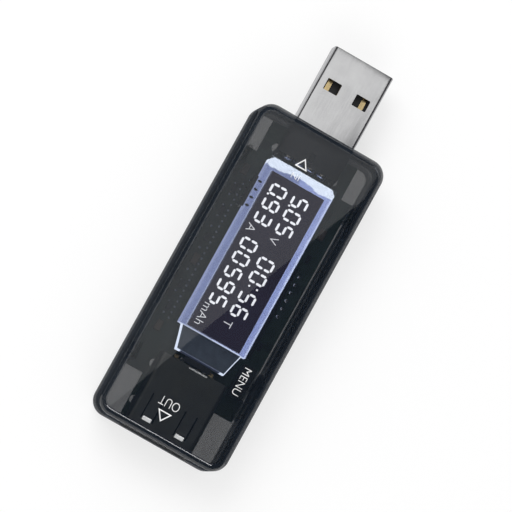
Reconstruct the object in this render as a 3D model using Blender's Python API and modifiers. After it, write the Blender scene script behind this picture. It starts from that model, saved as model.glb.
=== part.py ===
"""USB power meter: a smoked two-part case with a USB plug and socket in line, a backlit display and a button.

The stick lies on its back: +X runs from the socket end to the plug's tip, +Z is the display side and
-Y is the side with the menu button. The origin is the centre of the whole outline, on the resting face.
All sizes are in metres.
"""

import math

import bmesh
import bpy
from mathutils import Matrix, Vector

# ---- Case -----------------------------------------------------------------------------------------
CASE_LENGTH = 0.0627
CASE_WIDTH = 0.0257
CASE_HEIGHT = 0.0124
CASE_WALL = 0.0012
CORNER_RADIUS = 0.0030
EDGE_RADIUS = 0.0015
PARTING_HEIGHT = 0.0062
SEAM_GAP = 0.00005
OPENING_CLEARANCE = 0.00015

# ---- Circuit board --------------------------------------------------------------------------------
BOARD_UNDERSIDE = 0.0030
BOARD_THICKNESS = 0.0010
BOARD_SIDE_CLEARANCE = 0.00075
BOARD_HEAD_WIDTH = 0.0175
BOARD_TAIL_WIDTH = 0.0146
NOTCH_LENGTH_AT_PLUG = 0.0068
NOTCH_LENGTH_AT_SOCKET = 0.0089
BOARD_END_GAP_AT_PLUG = 0.0005
BOARD_END_GAP_AT_SOCKET = 0.0006
BOARD_POST_RADIUS = 0.0010
LEAD_HOLE_RADIUS = 0.00042
LEAD_STAND_OUT = 0.0008
SOLDER_GAP = 0.00004

# ---- USB plug -------------------------------------------------------------------------------------
PLUG_WIDTH = 0.0120
PLUG_HEIGHT = 0.0045
PLUG_REACH = 0.0150
PLUG_LENGTH_INSIDE = 0.0055
PLUG_SHEET = 0.0003
PLUG_EDGE_RADIUS = 0.0006
PLUG_WINDOW_LENGTH = 0.0022
PLUG_WINDOW_WIDTH = 0.0028
PLUG_WINDOW_SPACING = 0.0059
PLUG_WINDOW_FROM_TIP = 0.0057
PLUG_TONGUE_THICKNESS = 0.00190
PLUG_TONGUE_SETBACK = 0.0004
PLUG_BLOCK_LENGTH = 0.0049
PLUG_LEG_WIDTH = 0.0014
PLUG_LEG_OVERLAP = 0.0004
PLUG_NOTCH_LENGTH = 0.0019
PLUG_NOTCH_WIDTH = 0.0009
PLUG_NOTCH_FROM_REAR = 0.0006

# ---- USB socket -----------------------------------------------------------------------------------
SOCKET_LENGTH = 0.0144
SOCKET_SHEET = 0.0003
SOCKET_INNER_WIDTH = 0.0125
SOCKET_INNER_HEIGHT = 0.00515
SOCKET_MOUTH_SETBACK = 0.0003
SOCKET_BLOCK_LENGTH = 0.0041
SOCKET_TONGUE_LENGTH = 0.0080
SOCKET_TONGUE_WIDTH = 0.0111
SOCKET_TONGUE_THICKNESS = 0.00184
SOCKET_TONGUE_ABOVE = 0.00068
SOCKET_LEG_WIDTH = 0.0015
SPRING_LENGTH = 0.0048
SPRING_WIDTH = 0.0020
SPRING_SPACING = 0.0066
SPRING_SLOT = 0.0003
SPRING_DIP = 0.00035
SPRING_WINDOW_FROM_MOUTH = 0.0020

# ---- Contacts, shared by the plug and the socket --------------------------------------------------
CONTACT_ROWS = (0.0035, 0.0010, -0.0010, -0.0035)
CONTACT_WIDTH = 0.0009
CONTACT_FOOT = 0.0010
CONTACT_SHEET = 0.00020
CONTACT_SLOT_CLEARANCE = 0.00006
INSERT_CLEARANCE = 0.00005

# ---- Display and its backlight --------------------------------------------------------------------
GUIDE_WIDTH = 0.0136
GUIDE_LENGTH = 0.0340
GUIDE_THICKNESS = 0.0018
GUIDE_FROM_PLUG_END = 0.00805
GUIDE_CORNER_CUT = 0.0009
NECK_LENGTH = 0.0045
NECK_WIDTH_AT_GUIDE = 0.0120
NECK_WIDTH_AT_LAMP = 0.0098
VIEW_LENGTH = 0.0313
VIEW_WIDTH = 0.0106
VIEW_FROM_PLUG_END = 0.0106
GLASS_THICKNESS = 0.00055
LEDGE_GLASS_MARGIN = 0.0001
POLARISER_THICKNESS = 0.00015
FILM_THICKNESS = 0.00012
DISPLAY_GAP = 0.00004
DISPLAY_ROOF_GAP = 0.00025
PIN_PITCH = 0.0016
PIN_WIDTH = 0.00045
PIN_SHEET = 0.00022
PIN_PAD_REACH = 0.0011
PIN_GLASS_GAP = 0.00010
COMMON_PIN_COUNT = 4
COMMON_PIN_FIRST_FROM_VIEW = 0.0026
SEGMENT_PIN_COUNT = 12
SEGMENT_PIN_FIRST_FROM_VIEW = 0.0130
BEAD_WIDTH = 0.00075
LAMP_LENGTH = 0.0010
LAMP_WIDTH = 0.0052
LAMP_HEIGHT = 0.0012
LAMP_GUIDE_GAP = 0.0001
LAMP_LEAD_SPACING = 0.0045
LAMP_LEAD_THICKNESS = 0.00035
FOAM_LENGTH = 0.0090
FOAM_WIDTH = 0.0045
FOAM_SPACING = 0.0190

# ---- Menu button and its switch -------------------------------------------------------------------
BUTTON_FROM_PLUG_END = 0.0457
BUTTON_LENGTH = 0.0042
BUTTON_HEIGHT = 0.0022
BUTTON_RECESS = 0.00015
BUTTON_CLEARANCE = 0.00012
FLANGE_MARGIN = 0.0008
FLANGE_THICKNESS = 0.0006
FLANGE_WALL_GAP = 0.00015
BUTTON_TRAVEL = 0.00025
SWITCH_LENGTH = 0.0060
SWITCH_DEPTH = 0.0026
SWITCH_COVER_SHEET = 0.0002
SWITCH_TOP_MARGIN = 0.0018
PLUNGER_RADIUS = 0.0009
PLUNGER_FOOT_RADIUS = 0.00115
PLUNGER_FOOT_THICKNESS = 0.0004
PLUNGER_FLANGE_GAP = 0.0001
PLUNGER_CLEARANCE = 0.00012
PLUNGER_REACH = 0.0005
SWITCH_WELL_DEPTH = 0.0016
DOME_RADIUS = 0.00115
DOME_RISE = 0.00020
DOME_SHEET = 0.00008

# ---- Snap hooks, lips and ribs of the case --------------------------------------------------------
HOOK_LENGTH = 0.0034
HOOK_SHOULDER_GAP = 0.0005
HOOK_THICKNESS = 0.0006
HOOK_BARB_REACH = 0.0004
HOOK_BARB_HEIGHT = 0.0008
HOOK_WALL_GAP = 0.00055
CATCH_GAP = 0.00010
CATCH_HEIGHT = 0.0008
CATCH_UNDERSIDE = 0.0046
LIP_THICKNESS = 0.0005
LIP_HEIGHT = 0.0008
LIP_GAP = 0.00015
LIP_LENGTH = 0.0300
LIP_CENTRE_FROM_PLUG_END = 0.0258
RIB_THICKNESS = 0.0008
RIB_REACH = 0.0014
RIB_BOARD_GAP = 0.0001

# ---- Parts on the board ------------------------------------------------------------------------------
# Under it, leaded chips: (length, width, height), legs a side, their pitch, reach and width, and the
# place as (distance from the case's plug end, distance across from the middle)
LEADED_CHIPS = {
    "microcontroller": ((0.0065, 0.0044, 0.00145), 10, 0.00065, 0.0010, 0.0003, (0.0224, 0.0)),
    "memory_chip": ((0.0049, 0.0039, 0.00150), 4, 0.00127, 0.0010, 0.0004, (0.0354, 0.0045)),
    "voltage_regulator": ((0.0029, 0.0016, 0.00110), 2, 0.0019, 0.0006, 0.0004, (0.0124, -0.0062)),
}
CHIP_STAND = 0.0001
CHIP_LEG_SHEET = 0.00015
# Under it, plain blocks: finish, (length, width, height) and place
BLOCK_PARTS = {
    "current_shunt": ("chip_resin", (0.0032, 0.0064, 0.0007), (0.0394, -0.0035)),
    "protection_diode": ("chip_resin", (0.0045, 0.0026, 0.0013), (0.0129, 0.0036)),
    "supply_capacitor": ("tantalum_yellow", (0.0035, 0.0028, 0.0015), (0.0189, -0.0075)),
}
# On it, two rows along its edges: distances from the case's plug end, in the left row and the right one
CAPACITOR_SIZE = (0.0020, 0.0012, 0.0009)
CAPACITORS = ((0.0119, 0.0304, 0.0439), (0.0154,))
RESISTOR_SIZE = (0.0016, 0.0008, 0.0005)
RESISTORS = ((0.0159, 0.0204, 0.0259, 0.0354, 0.0399), (0.0204, 0.0384))
ROW_FROM_EDGE = (0.0018, 0.0022)

# ---- Places worked out from the sizes above -------------------------------------------------------
TOTAL_LENGTH = CASE_LENGTH + PLUG_REACH
PLUG_TIP_X = TOTAL_LENGTH / 2
PLUG_END_X = PLUG_TIP_X - PLUG_REACH
SOCKET_END_X = -TOTAL_LENGTH / 2
HALF_INSIDE = CASE_WIDTH / 2 - CASE_WALL
ROOF = CASE_HEIGHT - CASE_WALL
BOARD_TOP = BOARD_UNDERSIDE + BOARD_THICKNESS
BOARD_HALF_WIDTH = HALF_INSIDE - BOARD_SIDE_CLEARANCE
BOARD_PLUG_END = PLUG_END_X - CASE_WALL - BOARD_END_GAP_AT_PLUG
BOARD_SOCKET_END = SOCKET_END_X + CASE_WALL + BOARD_END_GAP_AT_SOCKET
BODY_PLUG_END = PLUG_END_X - CASE_WALL - NOTCH_LENGTH_AT_PLUG
BODY_SOCKET_END = SOCKET_END_X + CASE_WALL + NOTCH_LENGTH_AT_SOCKET
PLUG_REAR_X = PLUG_END_X - PLUG_LENGTH_INSIDE
PLUG_CENTRE_Z = BOARD_TOP + SOLDER_GAP + PLUG_HEIGHT / 2
SOCKET_OUTER_WIDTH = SOCKET_INNER_WIDTH + 2 * SOCKET_SHEET
SOCKET_OUTER_HEIGHT = SOCKET_INNER_HEIGHT + 2 * SOCKET_SHEET
SOCKET_MOUTH_X = SOCKET_END_X + SOCKET_MOUTH_SETBACK
SOCKET_REAR_X = SOCKET_MOUTH_X + SOCKET_LENGTH
SOCKET_CENTRE_Z = BOARD_TOP + SOLDER_GAP + SOCKET_OUTER_HEIGHT / 2
VIEW_PLUG_SIDE_X = PLUG_END_X - VIEW_FROM_PLUG_END
VIEW_CENTRE_X = VIEW_PLUG_SIDE_X - VIEW_LENGTH / 2
GUIDE_PLUG_SIDE_X = PLUG_END_X - GUIDE_FROM_PLUG_END
GUIDE_NECK_X = GUIDE_PLUG_SIDE_X - GUIDE_LENGTH
LAMP_FACE_X = GUIDE_NECK_X - NECK_LENGTH
FRONT_POLARISER_Z = ROOF - DISPLAY_ROOF_GAP - POLARISER_THICKNESS
FRONT_GLASS_Z = FRONT_POLARISER_Z - DISPLAY_GAP - GLASS_THICKNESS
LEDGE_GLASS_Z = FRONT_GLASS_Z - DISPLAY_GAP - GLASS_THICKNESS
REAR_POLARISER_Z = LEDGE_GLASS_Z - DISPLAY_GAP - POLARISER_THICKNESS
GUIDE_Z = REAR_POLARISER_Z - DISPLAY_GAP - GUIDE_THICKNESS
FILM_Z = GUIDE_Z - DISPLAY_GAP - FILM_THICKNESS
BUTTON_X = PLUG_END_X - BUTTON_FROM_PLUG_END
FLANGE_OUTER_Y = HALF_INSIDE - FLANGE_WALL_GAP
FLANGE_INNER_Y = FLANGE_OUTER_Y - FLANGE_THICKNESS
PLUNGER_TIP_Y = FLANGE_INNER_Y - PLUNGER_FLANGE_GAP
SWITCH_COVER_Y = PLUNGER_TIP_Y - PLUNGER_REACH
SWITCH_FACE_Y = SWITCH_COVER_Y - SWITCH_COVER_SHEET - SOLDER_GAP
SWITCH_HEIGHT = PARTING_HEIGHT + SWITCH_TOP_MARGIN - BOARD_TOP

# ---- Materials: colour, roughness, metallic, alpha ------------------------------------------------
FINISHES = {
    "smoked_plastic": ((0.030, 0.034, 0.040), 0.12, 0.0, 0.55),
    "button_plastic": ((0.012, 0.013, 0.015), 0.35, 0.0, 1.0),
    "board_laminate": ((0.010, 0.022, 0.035), 0.45, 0.0, 1.0),
    "plated_steel": ((0.62, 0.62, 0.61), 0.25, 1.0, 1.0),
    "gold_contact": ((0.83, 0.61, 0.27), 0.25, 1.0, 1.0),
    "black_insulator": ((0.015, 0.015, 0.016), 0.45, 0.0, 1.0),
    "display_glass": ((0.05, 0.05, 0.07), 0.05, 0.0, 0.6),
    "polariser_film": ((0.015, 0.014, 0.022), 0.15, 0.0, 1.0),
    "light_guide": ((0.72, 0.78, 0.98), 0.2, 0.0, 1.0),
    "white_film": ((0.85, 0.85, 0.86), 0.5, 0.0, 1.0),
    "lamp_housing": ((0.90, 0.88, 0.72), 0.4, 0.0, 1.0),
    "tinned_metal": ((0.70, 0.70, 0.69), 0.3, 1.0, 1.0),
    "foam": ((0.04, 0.04, 0.04), 0.9, 0.0, 1.0),
    "chip_resin": ((0.02, 0.02, 0.022), 0.5, 0.0, 1.0),
    "ceramic_tan": ((0.46, 0.36, 0.24), 0.5, 0.0, 1.0),
    "tantalum_yellow": ((0.75, 0.50, 0.08), 0.5, 0.0, 1.0),
}

BEVEL_STEPS = 4
CORNER_STEPS = 6
ROUND_SIDES = 16
HOLE_SIDES = 10
OVERSHOOT = 0.0010


def clear_scene():
    """Removes every object, so that the script can run again from Blender's text editor."""
    for obj in list(bpy.data.objects):
        bpy.data.objects.remove(obj)


def make_collection(name):
    """A new collection under the scene's own."""
    collection = bpy.data.collections.new(name)
    bpy.context.scene.collection.children.link(collection)
    return collection


def make_material(name):
    """The Principled material of one finish in FINISHES."""
    colour, roughness, metallic, alpha = FINISHES[name]
    material = bpy.data.materials.get(name) or bpy.data.materials.new(name)
    material.use_nodes = True
    shader = material.node_tree.nodes["Principled BSDF"]
    shader.inputs["Base Color"].default_value = (*colour, 1.0)
    shader.inputs["Roughness"].default_value = roughness
    shader.inputs["Metallic"].default_value = metallic
    shader.inputs["Alpha"].default_value = alpha
    return material


def place(name, mesh, finish, location=(0.0, 0.0, 0.0)):
    """A named object of the meter, with its finish, at its location."""
    obj = bpy.data.objects.new(name, mesh)
    obj.location = location
    obj.data.materials.append(make_material(finish))
    PARTS.objects.link(obj)
    return obj


def make_cutter(name, mesh, location=(0.0, 0.0, 0.0)):
    """A helper solid for a Boolean, which is drawn as wire and never rendered."""
    obj = bpy.data.objects.new(name, mesh)
    obj.location = location
    obj.hide_render = True
    obj.display_type = "WIRE"
    CUTTERS.objects.link(obj)
    return obj


def boolean(obj, operation, other):
    """Adds an exact Boolean of other to obj."""
    modifier = obj.modifiers.new(f"{operation.lower()}_{other.name}", "BOOLEAN")
    modifier.operation = operation
    modifier.solver = "EXACT"
    modifier.object = other
    return modifier


def add_box(bm, low, high):
    """Adds a box between two corners to a bmesh and returns its vertices."""
    low, high = Vector(low), Vector(high)
    made = bmesh.ops.create_cube(bm, size=1.0)["verts"]
    bmesh.ops.scale(bm, vec=high - low, verts=made)
    bmesh.ops.translate(bm, vec=(low + high) / 2, verts=made)
    return made


def mesh_of(bm, name):
    """Turns a bmesh into a mesh and frees it."""
    mesh = bpy.data.meshes.new(name)
    bm.to_mesh(mesh)
    bm.free()
    return mesh


def boxes_mesh(name, spans):
    """One mesh with a box for each (low corner, high corner) in spans."""
    bm = bmesh.new()
    for low, high in spans:
        add_box(bm, low, high)
    return mesh_of(bm, name)


def bevelled_box_mesh(name, size, radius, steps=2, along=None):
    """A box about the origin with rounded edges: all of them, or those that run along one axis."""
    bm = bmesh.new()
    half = Vector(size) / 2
    add_box(bm, -half, half)
    edges = bm.edges[:]
    if along is not None:
        edges = [e for e in edges if abs((e.verts[0].co - e.verts[1].co).normalized()[along]) > 0.9]
    bmesh.ops.bevel(bm, geom=edges, offset=radius, segments=steps, profile=0.5, affect="EDGES")
    return mesh_of(bm, name)


def cylinder_mesh(name, radius, length, axis, sides=ROUND_SIDES):
    """A cylinder about the origin along one axis, 0 for X to 2 for Z."""
    bm = bmesh.new()
    turned = {
        0: Matrix.Rotation(math.pi / 2, 3, "Y"),
        1: Matrix.Rotation(math.pi / 2, 3, "X"),
        2: Matrix.Identity(3),
    }[axis]
    bmesh.ops.create_cone(
        bm,
        cap_ends=True,
        segments=sides,
        radius1=radius,
        radius2=radius,
        depth=length,
        matrix=turned.to_4x4(),
    )
    return mesh_of(bm, name)


def outline_mesh(name, points, thickness, upright=None):
    """A flat outline given a thickness, as a filled 2D curve. It lies in XY and its thickness runs up.
    With upright "XZ" it stands in that plane, its thickness centred on Y, and with "YZ", centred on X."""
    curve = bpy.data.curves.new(name, "CURVE")
    curve.dimensions = "2D"
    curve.fill_mode = "BOTH"
    curve.extrude = thickness / 2
    spline = curve.splines.new("POLY")
    spline.points.add(len(points) - 1)
    for point, (x, y) in zip(spline.points, points):
        point.co = (x, y, 0.0, 1.0)
    spline.use_cyclic_u = True
    helper = bpy.data.objects.new(name + "_outline", curve)
    bpy.context.scene.collection.objects.link(helper)
    if upright == "XZ":
        helper.matrix_world = Matrix.Rotation(math.pi / 2, 4, "X")
    elif upright == "YZ":
        helper.matrix_world = Matrix.Rotation(math.pi / 2, 4, "Z") @ Matrix.Rotation(math.pi / 2, 4, "X")
    else:
        helper.location.z = thickness / 2
    bpy.context.view_layer.update()
    graph = bpy.context.evaluated_depsgraph_get()
    mesh = bpy.data.meshes.new_from_object(helper.evaluated_get(graph))
    mesh.transform(helper.matrix_world)
    bpy.data.objects.remove(helper)
    bm = bmesh.new()
    bm.from_mesh(mesh)
    bmesh.ops.remove_doubles(bm, verts=bm.verts, dist=1e-6)
    bmesh.ops.recalc_face_normals(bm, faces=bm.faces)
    bm.to_mesh(mesh)
    bm.free()
    mesh.name = name
    return mesh


def strip_outline(path, thickness):
    """The outline of a bent strip of sheet: the path, set off by half the thickness to each side."""
    left, right = [], []
    for i, point in enumerate(path):
        here = Vector(point)
        before = (here - Vector(path[i - 1])).normalized() if i else None
        after = (Vector(path[i + 1]) - here).normalized() if i + 1 < len(path) else None
        along = ((before or after) + (after or before)).normalized()
        side = Vector((-along.y, along.x))
        lean = side.dot(Vector((-(before or after).y, (before or after).x)))
        offset = side * (thickness / 2 / lean)
        left.append(tuple(here + offset))
        right.append(tuple(here - offset))
    return left + right[::-1]


def rounded_rectangle(width, height, radius, steps=CORNER_STEPS):
    """Points round a rectangle about the origin with round corners."""
    corners = (
        (width / 2 - radius, height / 2 - radius, 0),
        (-width / 2 + radius, height / 2 - radius, 1),
        (-width / 2 + radius, -height / 2 + radius, 2),
        (width / 2 - radius, -height / 2 + radius, 3),
    )
    points = []
    for x, y, quarter in corners:
        for step in range(steps + 1):
            angle = (quarter + step / steps) * math.pi / 2
            points.append((x + radius * math.cos(angle), y + radius * math.sin(angle)))
    return points


# ---- Case -----------------------------------------------------------------------------------------
def half_case_mesh(name, low, high, closed_at_top):
    """The open outer surface of one half of the case, to be given its wall by Solidify."""
    bm = bmesh.new()
    add_box(
        bm,
        (SOCKET_END_X, -CASE_WIDTH / 2, low),
        (PLUG_END_X, CASE_WIDTH / 2, high),
    )
    upright = [e for e in bm.edges if abs(e.verts[0].co.z - e.verts[1].co.z) > (high - low) / 2]
    bmesh.ops.bevel(
        bm, geom=upright, offset=CORNER_RADIUS, segments=CORNER_STEPS, profile=0.5, affect="EDGES"
    )
    closed_z, open_z = (high, low) if closed_at_top else (low, high)
    near = EDGE_RADIUS / 10
    rim = [e for e in bm.edges if all(abs(v.co.z - closed_z) < near for v in e.verts)]
    bmesh.ops.bevel(
        bm, geom=rim, offset=EDGE_RADIUS, segments=BEVEL_STEPS, profile=0.5, affect="EDGES"
    )
    mouth = [f for f in bm.faces if all(abs(v.co.z - open_z) < near for v in f.verts)]
    bmesh.ops.delete(bm, geom=mouth, context="FACES_ONLY")
    bmesh.ops.recalc_face_normals(bm, faces=bm.faces)
    top_face = max(bm.faces, key=lambda f: f.calc_area())
    if (top_face.normal.z > 0) != closed_at_top:
        bmesh.ops.reverse_faces(bm, faces=bm.faces)
    return mesh_of(bm, name)


def give_wall(obj):
    """Solidify, inwards from the outer surface."""
    wall = obj.modifiers.new("wall", "SOLIDIFY")
    wall.thickness = CASE_WALL
    wall.offset = -1.0
    wall.use_even_offset = True
    return wall


def connector_openings():
    """Cutters through the case's ends: one for the plug's shell and one for the socket's."""
    reach = CASE_WALL + OVERSHOOT
    plug = bevelled_box_mesh(
        "plug_opening",
        (2 * reach, PLUG_WIDTH + 2 * OPENING_CLEARANCE, PLUG_HEIGHT + 2 * OPENING_CLEARANCE),
        PLUG_EDGE_RADIUS,
        along=0,
    )
    half_width = SOCKET_OUTER_WIDTH / 2 + OPENING_CLEARANCE
    half_height = SOCKET_OUTER_HEIGHT / 2 + OPENING_CLEARANCE
    span = ((-reach, -half_width, -half_height), (reach, half_width, half_height))
    socket = boxes_mesh("socket_opening", [span])
    return (
        make_cutter("plug_opening", plug, (PLUG_END_X, 0, PLUG_CENTRE_Z)),
        make_cutter("socket_opening", socket, (SOCKET_END_X, 0, SOCKET_CENTRE_Z)),
    )


def button_opening():
    """The cutter for the button's oblong hole, which straddles the seam."""
    outline = rounded_rectangle(
        BUTTON_LENGTH + 2 * BUTTON_CLEARANCE,
        BUTTON_HEIGHT + 2 * BUTTON_CLEARANCE,
        BUTTON_HEIGHT / 2 + BUTTON_CLEARANCE - SEAM_GAP,
    )
    mesh = outline_mesh("button_opening", outline, 2 * (CASE_WALL + OVERSHOOT), upright="XZ")
    return make_cutter("button_opening", mesh, (BUTTON_X, -CASE_WIDTH / 2, PARTING_HEIGHT))


def hook_centres():
    """Where the four snap hooks stand along X, one in each corner notch of the board."""
    inset = HOOK_SHOULDER_GAP + HOOK_LENGTH / 2
    return BODY_PLUG_END + inset, BODY_SOCKET_END - inset


def hook_outline():
    """A hook's section in YZ on the +Y side: a leaf from the roof with a barb on its outer face."""
    outer = HALF_INSIDE - HOOK_WALL_GAP
    inner = outer - HOOK_THICKNESS
    barb_top = CATCH_UNDERSIDE - CATCH_GAP
    barb_low = barb_top - HOOK_BARB_HEIGHT
    return [
        (inner, ROOF + CASE_WALL / 2),
        (inner, barb_low),
        (outer, barb_low),
        (outer + HOOK_BARB_REACH, barb_top - HOOK_BARB_HEIGHT / 4),
        (outer + HOOK_BARB_REACH, barb_top),
        (outer, barb_top),
        (outer, ROOF + CASE_WALL / 2),
    ]


def catch_outline():
    """A catch's section in YZ on the +Y side: a wedge on the wall that a hook's barb holds under."""
    reach = HALF_INSIDE - HOOK_WALL_GAP + CATCH_GAP
    return [
        (HALF_INSIDE + CASE_WALL / 2, CATCH_UNDERSIDE),
        (reach, CATCH_UNDERSIDE),
        (reach, CATCH_UNDERSIDE + CATCH_HEIGHT / 2),
        (HALF_INSIDE - SEAM_GAP, CATCH_UNDERSIDE + CATCH_HEIGHT),
        (HALF_INSIDE + CASE_WALL / 2, CATCH_UNDERSIDE + CATCH_HEIGHT),
    ]


def rib_outline():
    """A rib's section in YZ on the +Y side: from the roof to the board's edge, clear of the lower wall."""
    inner, outer = HALF_INSIDE - RIB_REACH, HALF_INSIDE - LIP_GAP
    return [
        (inner, ROOF + CASE_WALL / 2),
        (inner, BOARD_TOP + RIB_BOARD_GAP),
        (outer, BOARD_TOP + RIB_BOARD_GAP),
        (outer, PARTING_HEIGHT + SEAM_GAP),
        (HALF_INSIDE + CASE_WALL / 2, PARTING_HEIGHT + SEAM_GAP),
        (HALF_INSIDE + CASE_WALL / 2, ROOF + CASE_WALL / 2),
    ]


def lip_outline():
    """The lip's section in YZ on the +Y side: a step on the lower wall that stands inside the upper one."""
    outer = HALF_INSIDE - LIP_GAP
    return [
        (HALF_INSIDE + CASE_WALL / 2, PARTING_HEIGHT - 2 * LIP_HEIGHT),
        (outer, PARTING_HEIGHT - 2 * LIP_HEIGHT),
        (outer - LIP_THICKNESS, PARTING_HEIGHT - LIP_HEIGHT),
        (outer - LIP_THICKNESS, PARTING_HEIGHT + LIP_HEIGHT),
        (outer, PARTING_HEIGHT + LIP_HEIGHT),
        (outer, PARTING_HEIGHT - LIP_GAP),
        (HALF_INSIDE + CASE_WALL / 2, PARTING_HEIGHT - LIP_GAP),
    ]


def mirrored(points, side):
    """Section points on the +Y side, or turned over to the -Y side."""
    return points if side > 0 else [(-y, z) for y, z in reversed(points)]


def add_section(obj, name, points, side, x, length):
    """Joins a section that runs along X to a case half."""
    mesh = outline_mesh(name, mirrored(points, side), length, upright="YZ")
    boolean(obj, "UNION", make_cutter(name, mesh, (x, 0, 0)))


def board_rib_places():
    """Where the upper half's ribs stand along X, just inside the board's shoulders."""
    inset = 1.5 * RIB_THICKNESS
    return BODY_PLUG_END - inset, BODY_SOCKET_END + inset


def make_top_shell(openings):
    """The upper half of the case, with its snap hooks and the ribs that hold the board down."""
    shell = place(
        "top_shell",
        half_case_mesh("top_shell", PARTING_HEIGHT + SEAM_GAP / 2, CASE_HEIGHT, True),
        "smoked_plastic",
    )
    give_wall(shell)
    for side, label in ((1, "left"), (-1, "right")):
        for x, end in zip(hook_centres(), ("plug", "socket")):
            add_section(shell, f"hook_{end}_{label}", hook_outline(), side, x, HOOK_LENGTH)
        for x, end in zip(board_rib_places(), ("plug", "socket")):
            add_section(shell, f"rib_{end}_{label}", rib_outline(), side, x, RIB_THICKNESS)
    for cutter in openings:
        boolean(shell, "DIFFERENCE", cutter)
    return shell


def make_bottom_shell(openings):
    """The lower half of the case, with its catches, lips and the posts under the board."""
    shell = place(
        "bottom_shell",
        half_case_mesh("bottom_shell", 0.0, PARTING_HEIGHT - SEAM_GAP / 2, False),
        "smoked_plastic",
    )
    give_wall(shell)
    post_low, post_high = CASE_WALL / 2, BOARD_UNDERSIDE - SOLDER_GAP
    for side, label in ((1, "left"), (-1, "right")):
        for x, end in zip(hook_centres(), ("plug", "socket")):
            add_section(shell, f"catch_{end}_{label}", catch_outline(), side, x, HOOK_LENGTH)
        lip_centre = PLUG_END_X - LIP_CENTRE_FROM_PLUG_END
        add_section(shell, f"lip_{label}", lip_outline(), side, lip_centre, LIP_LENGTH)
        for x, end in zip(board_rib_places(), ("plug", "socket")):
            post = cylinder_mesh(f"post_{end}_{label}", BOARD_POST_RADIUS, post_high - post_low, 2, 12)
            y = side * (BOARD_HALF_WIDTH - 1.5 * BOARD_POST_RADIUS)
            centre = (x, y, (post_low + post_high) / 2)
            boolean(shell, "UNION", make_cutter(f"post_{end}_{label}", post, centre))
    for cutter in openings:
        boolean(shell, "DIFFERENCE", cutter)
    return shell


# ---- Circuit board --------------------------------------------------------------------------------
def board_outline():
    """The board's outline: a narrow head by the plug, a full-width middle and a narrow tail by the socket."""
    head, body, tail = BOARD_HEAD_WIDTH / 2, BOARD_HALF_WIDTH, BOARD_TAIL_WIDTH / 2
    half = [
        (BOARD_PLUG_END, head),
        (BODY_PLUG_END, head),
        (BODY_PLUG_END, body),
        (BODY_SOCKET_END, body),
        (BODY_SOCKET_END, tail),
        (BOARD_SOCKET_END, tail),
    ]
    return half + [(x, -y) for x, y in reversed(half)]


def make_board(lead_places):
    """The board, drilled for every lead that passes through it."""
    board = place(
        "circuit_board",
        outline_mesh("circuit_board", board_outline(), BOARD_THICKNESS),
        "board_laminate",
        (0, 0, BOARD_UNDERSIDE),
    )
    bm = bmesh.new()
    for x, y, radius in lead_places:
        bmesh.ops.create_cone(
            bm,
            cap_ends=True,
            segments=HOLE_SIDES,
            radius1=radius,
            radius2=radius,
            depth=BOARD_THICKNESS + 2 * OVERSHOOT,
            matrix=Matrix.Translation((x, y, BOARD_UNDERSIDE + BOARD_THICKNESS / 2)),
        )
    boolean(board, "DIFFERENCE", make_cutter("lead_holes", mesh_of(bm, "lead_holes")))
    return board


# ---- USB plug -------------------------------------------------------------------------------------
def plug_leg_places():
    """The plug shell's two legs, which run back from the rear corners and down through the board."""
    x = PLUG_REAR_X - PLUG_LEG_WIDTH / 2 + PLUG_LEG_OVERLAP
    y = PLUG_WIDTH / 2 - PLUG_SHEET / 2
    return [(x, y), (x, -y)]


def make_plug_shell():
    """The plug's folded steel sleeve, with two windows in each broad face, a notch and two legs."""
    length = PLUG_TIP_X - PLUG_REAR_X
    centre = ((PLUG_TIP_X + PLUG_REAR_X) / 2, 0, PLUG_CENTRE_Z)
    shell = place(
        "usb_plug_shell",
        bevelled_box_mesh("plug_sleeve", (length, PLUG_WIDTH, PLUG_HEIGHT), PLUG_EDGE_RADIUS, 3, along=0),
        "plated_steel",
        centre,
    )
    hollow = bevelled_box_mesh(
        "plug_hollow",
        (length + 2 * OVERSHOOT, PLUG_WIDTH - 2 * PLUG_SHEET, PLUG_HEIGHT - 2 * PLUG_SHEET),
        PLUG_EDGE_RADIUS - PLUG_SHEET,
        3,
        along=0,
    )
    boolean(shell, "DIFFERENCE", make_cutter("plug_hollow", hollow, centre))
    window_x = PLUG_TIP_X - PLUG_WINDOW_FROM_TIP - PLUG_WINDOW_LENGTH / 2
    windows = []
    for y in (-PLUG_WINDOW_SPACING / 2, PLUG_WINDOW_SPACING / 2):
        windows.append(
            (
                (window_x - PLUG_WINDOW_LENGTH / 2, y - PLUG_WINDOW_WIDTH / 2, PLUG_CENTRE_Z - PLUG_HEIGHT),
                (window_x + PLUG_WINDOW_LENGTH / 2, y + PLUG_WINDOW_WIDTH / 2, PLUG_CENTRE_Z + PLUG_HEIGHT),
            )
        )
    notch_x = PLUG_REAR_X + PLUG_NOTCH_FROM_REAR
    windows.append(
        (
            (notch_x, -PLUG_NOTCH_WIDTH / 2, PLUG_CENTRE_Z),
            (notch_x + PLUG_NOTCH_LENGTH, PLUG_NOTCH_WIDTH / 2, PLUG_CENTRE_Z + PLUG_HEIGHT),
        )
    )
    boolean(shell, "DIFFERENCE", make_cutter("plug_windows", boxes_mesh("plug_windows", windows)))
    legs = []
    for x, y in plug_leg_places():
        legs.append(
            (
                (x - PLUG_LEG_WIDTH / 2, y - PLUG_SHEET / 2, BOARD_UNDERSIDE - LEAD_STAND_OUT),
                (x + PLUG_LEG_WIDTH / 2, y + PLUG_SHEET / 2, PLUG_CENTRE_Z),
            )
        )
    boolean(shell, "UNION", make_cutter("plug_legs", boxes_mesh("plug_legs", legs)))
    return shell


def plug_contact_height():
    """The upper face of the plug's tongue, which carries the contacts."""
    return PLUG_CENTRE_Z - PLUG_HEIGHT / 2 + PLUG_SHEET + INSERT_CLEARANCE + PLUG_TONGUE_THICKNESS


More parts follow.
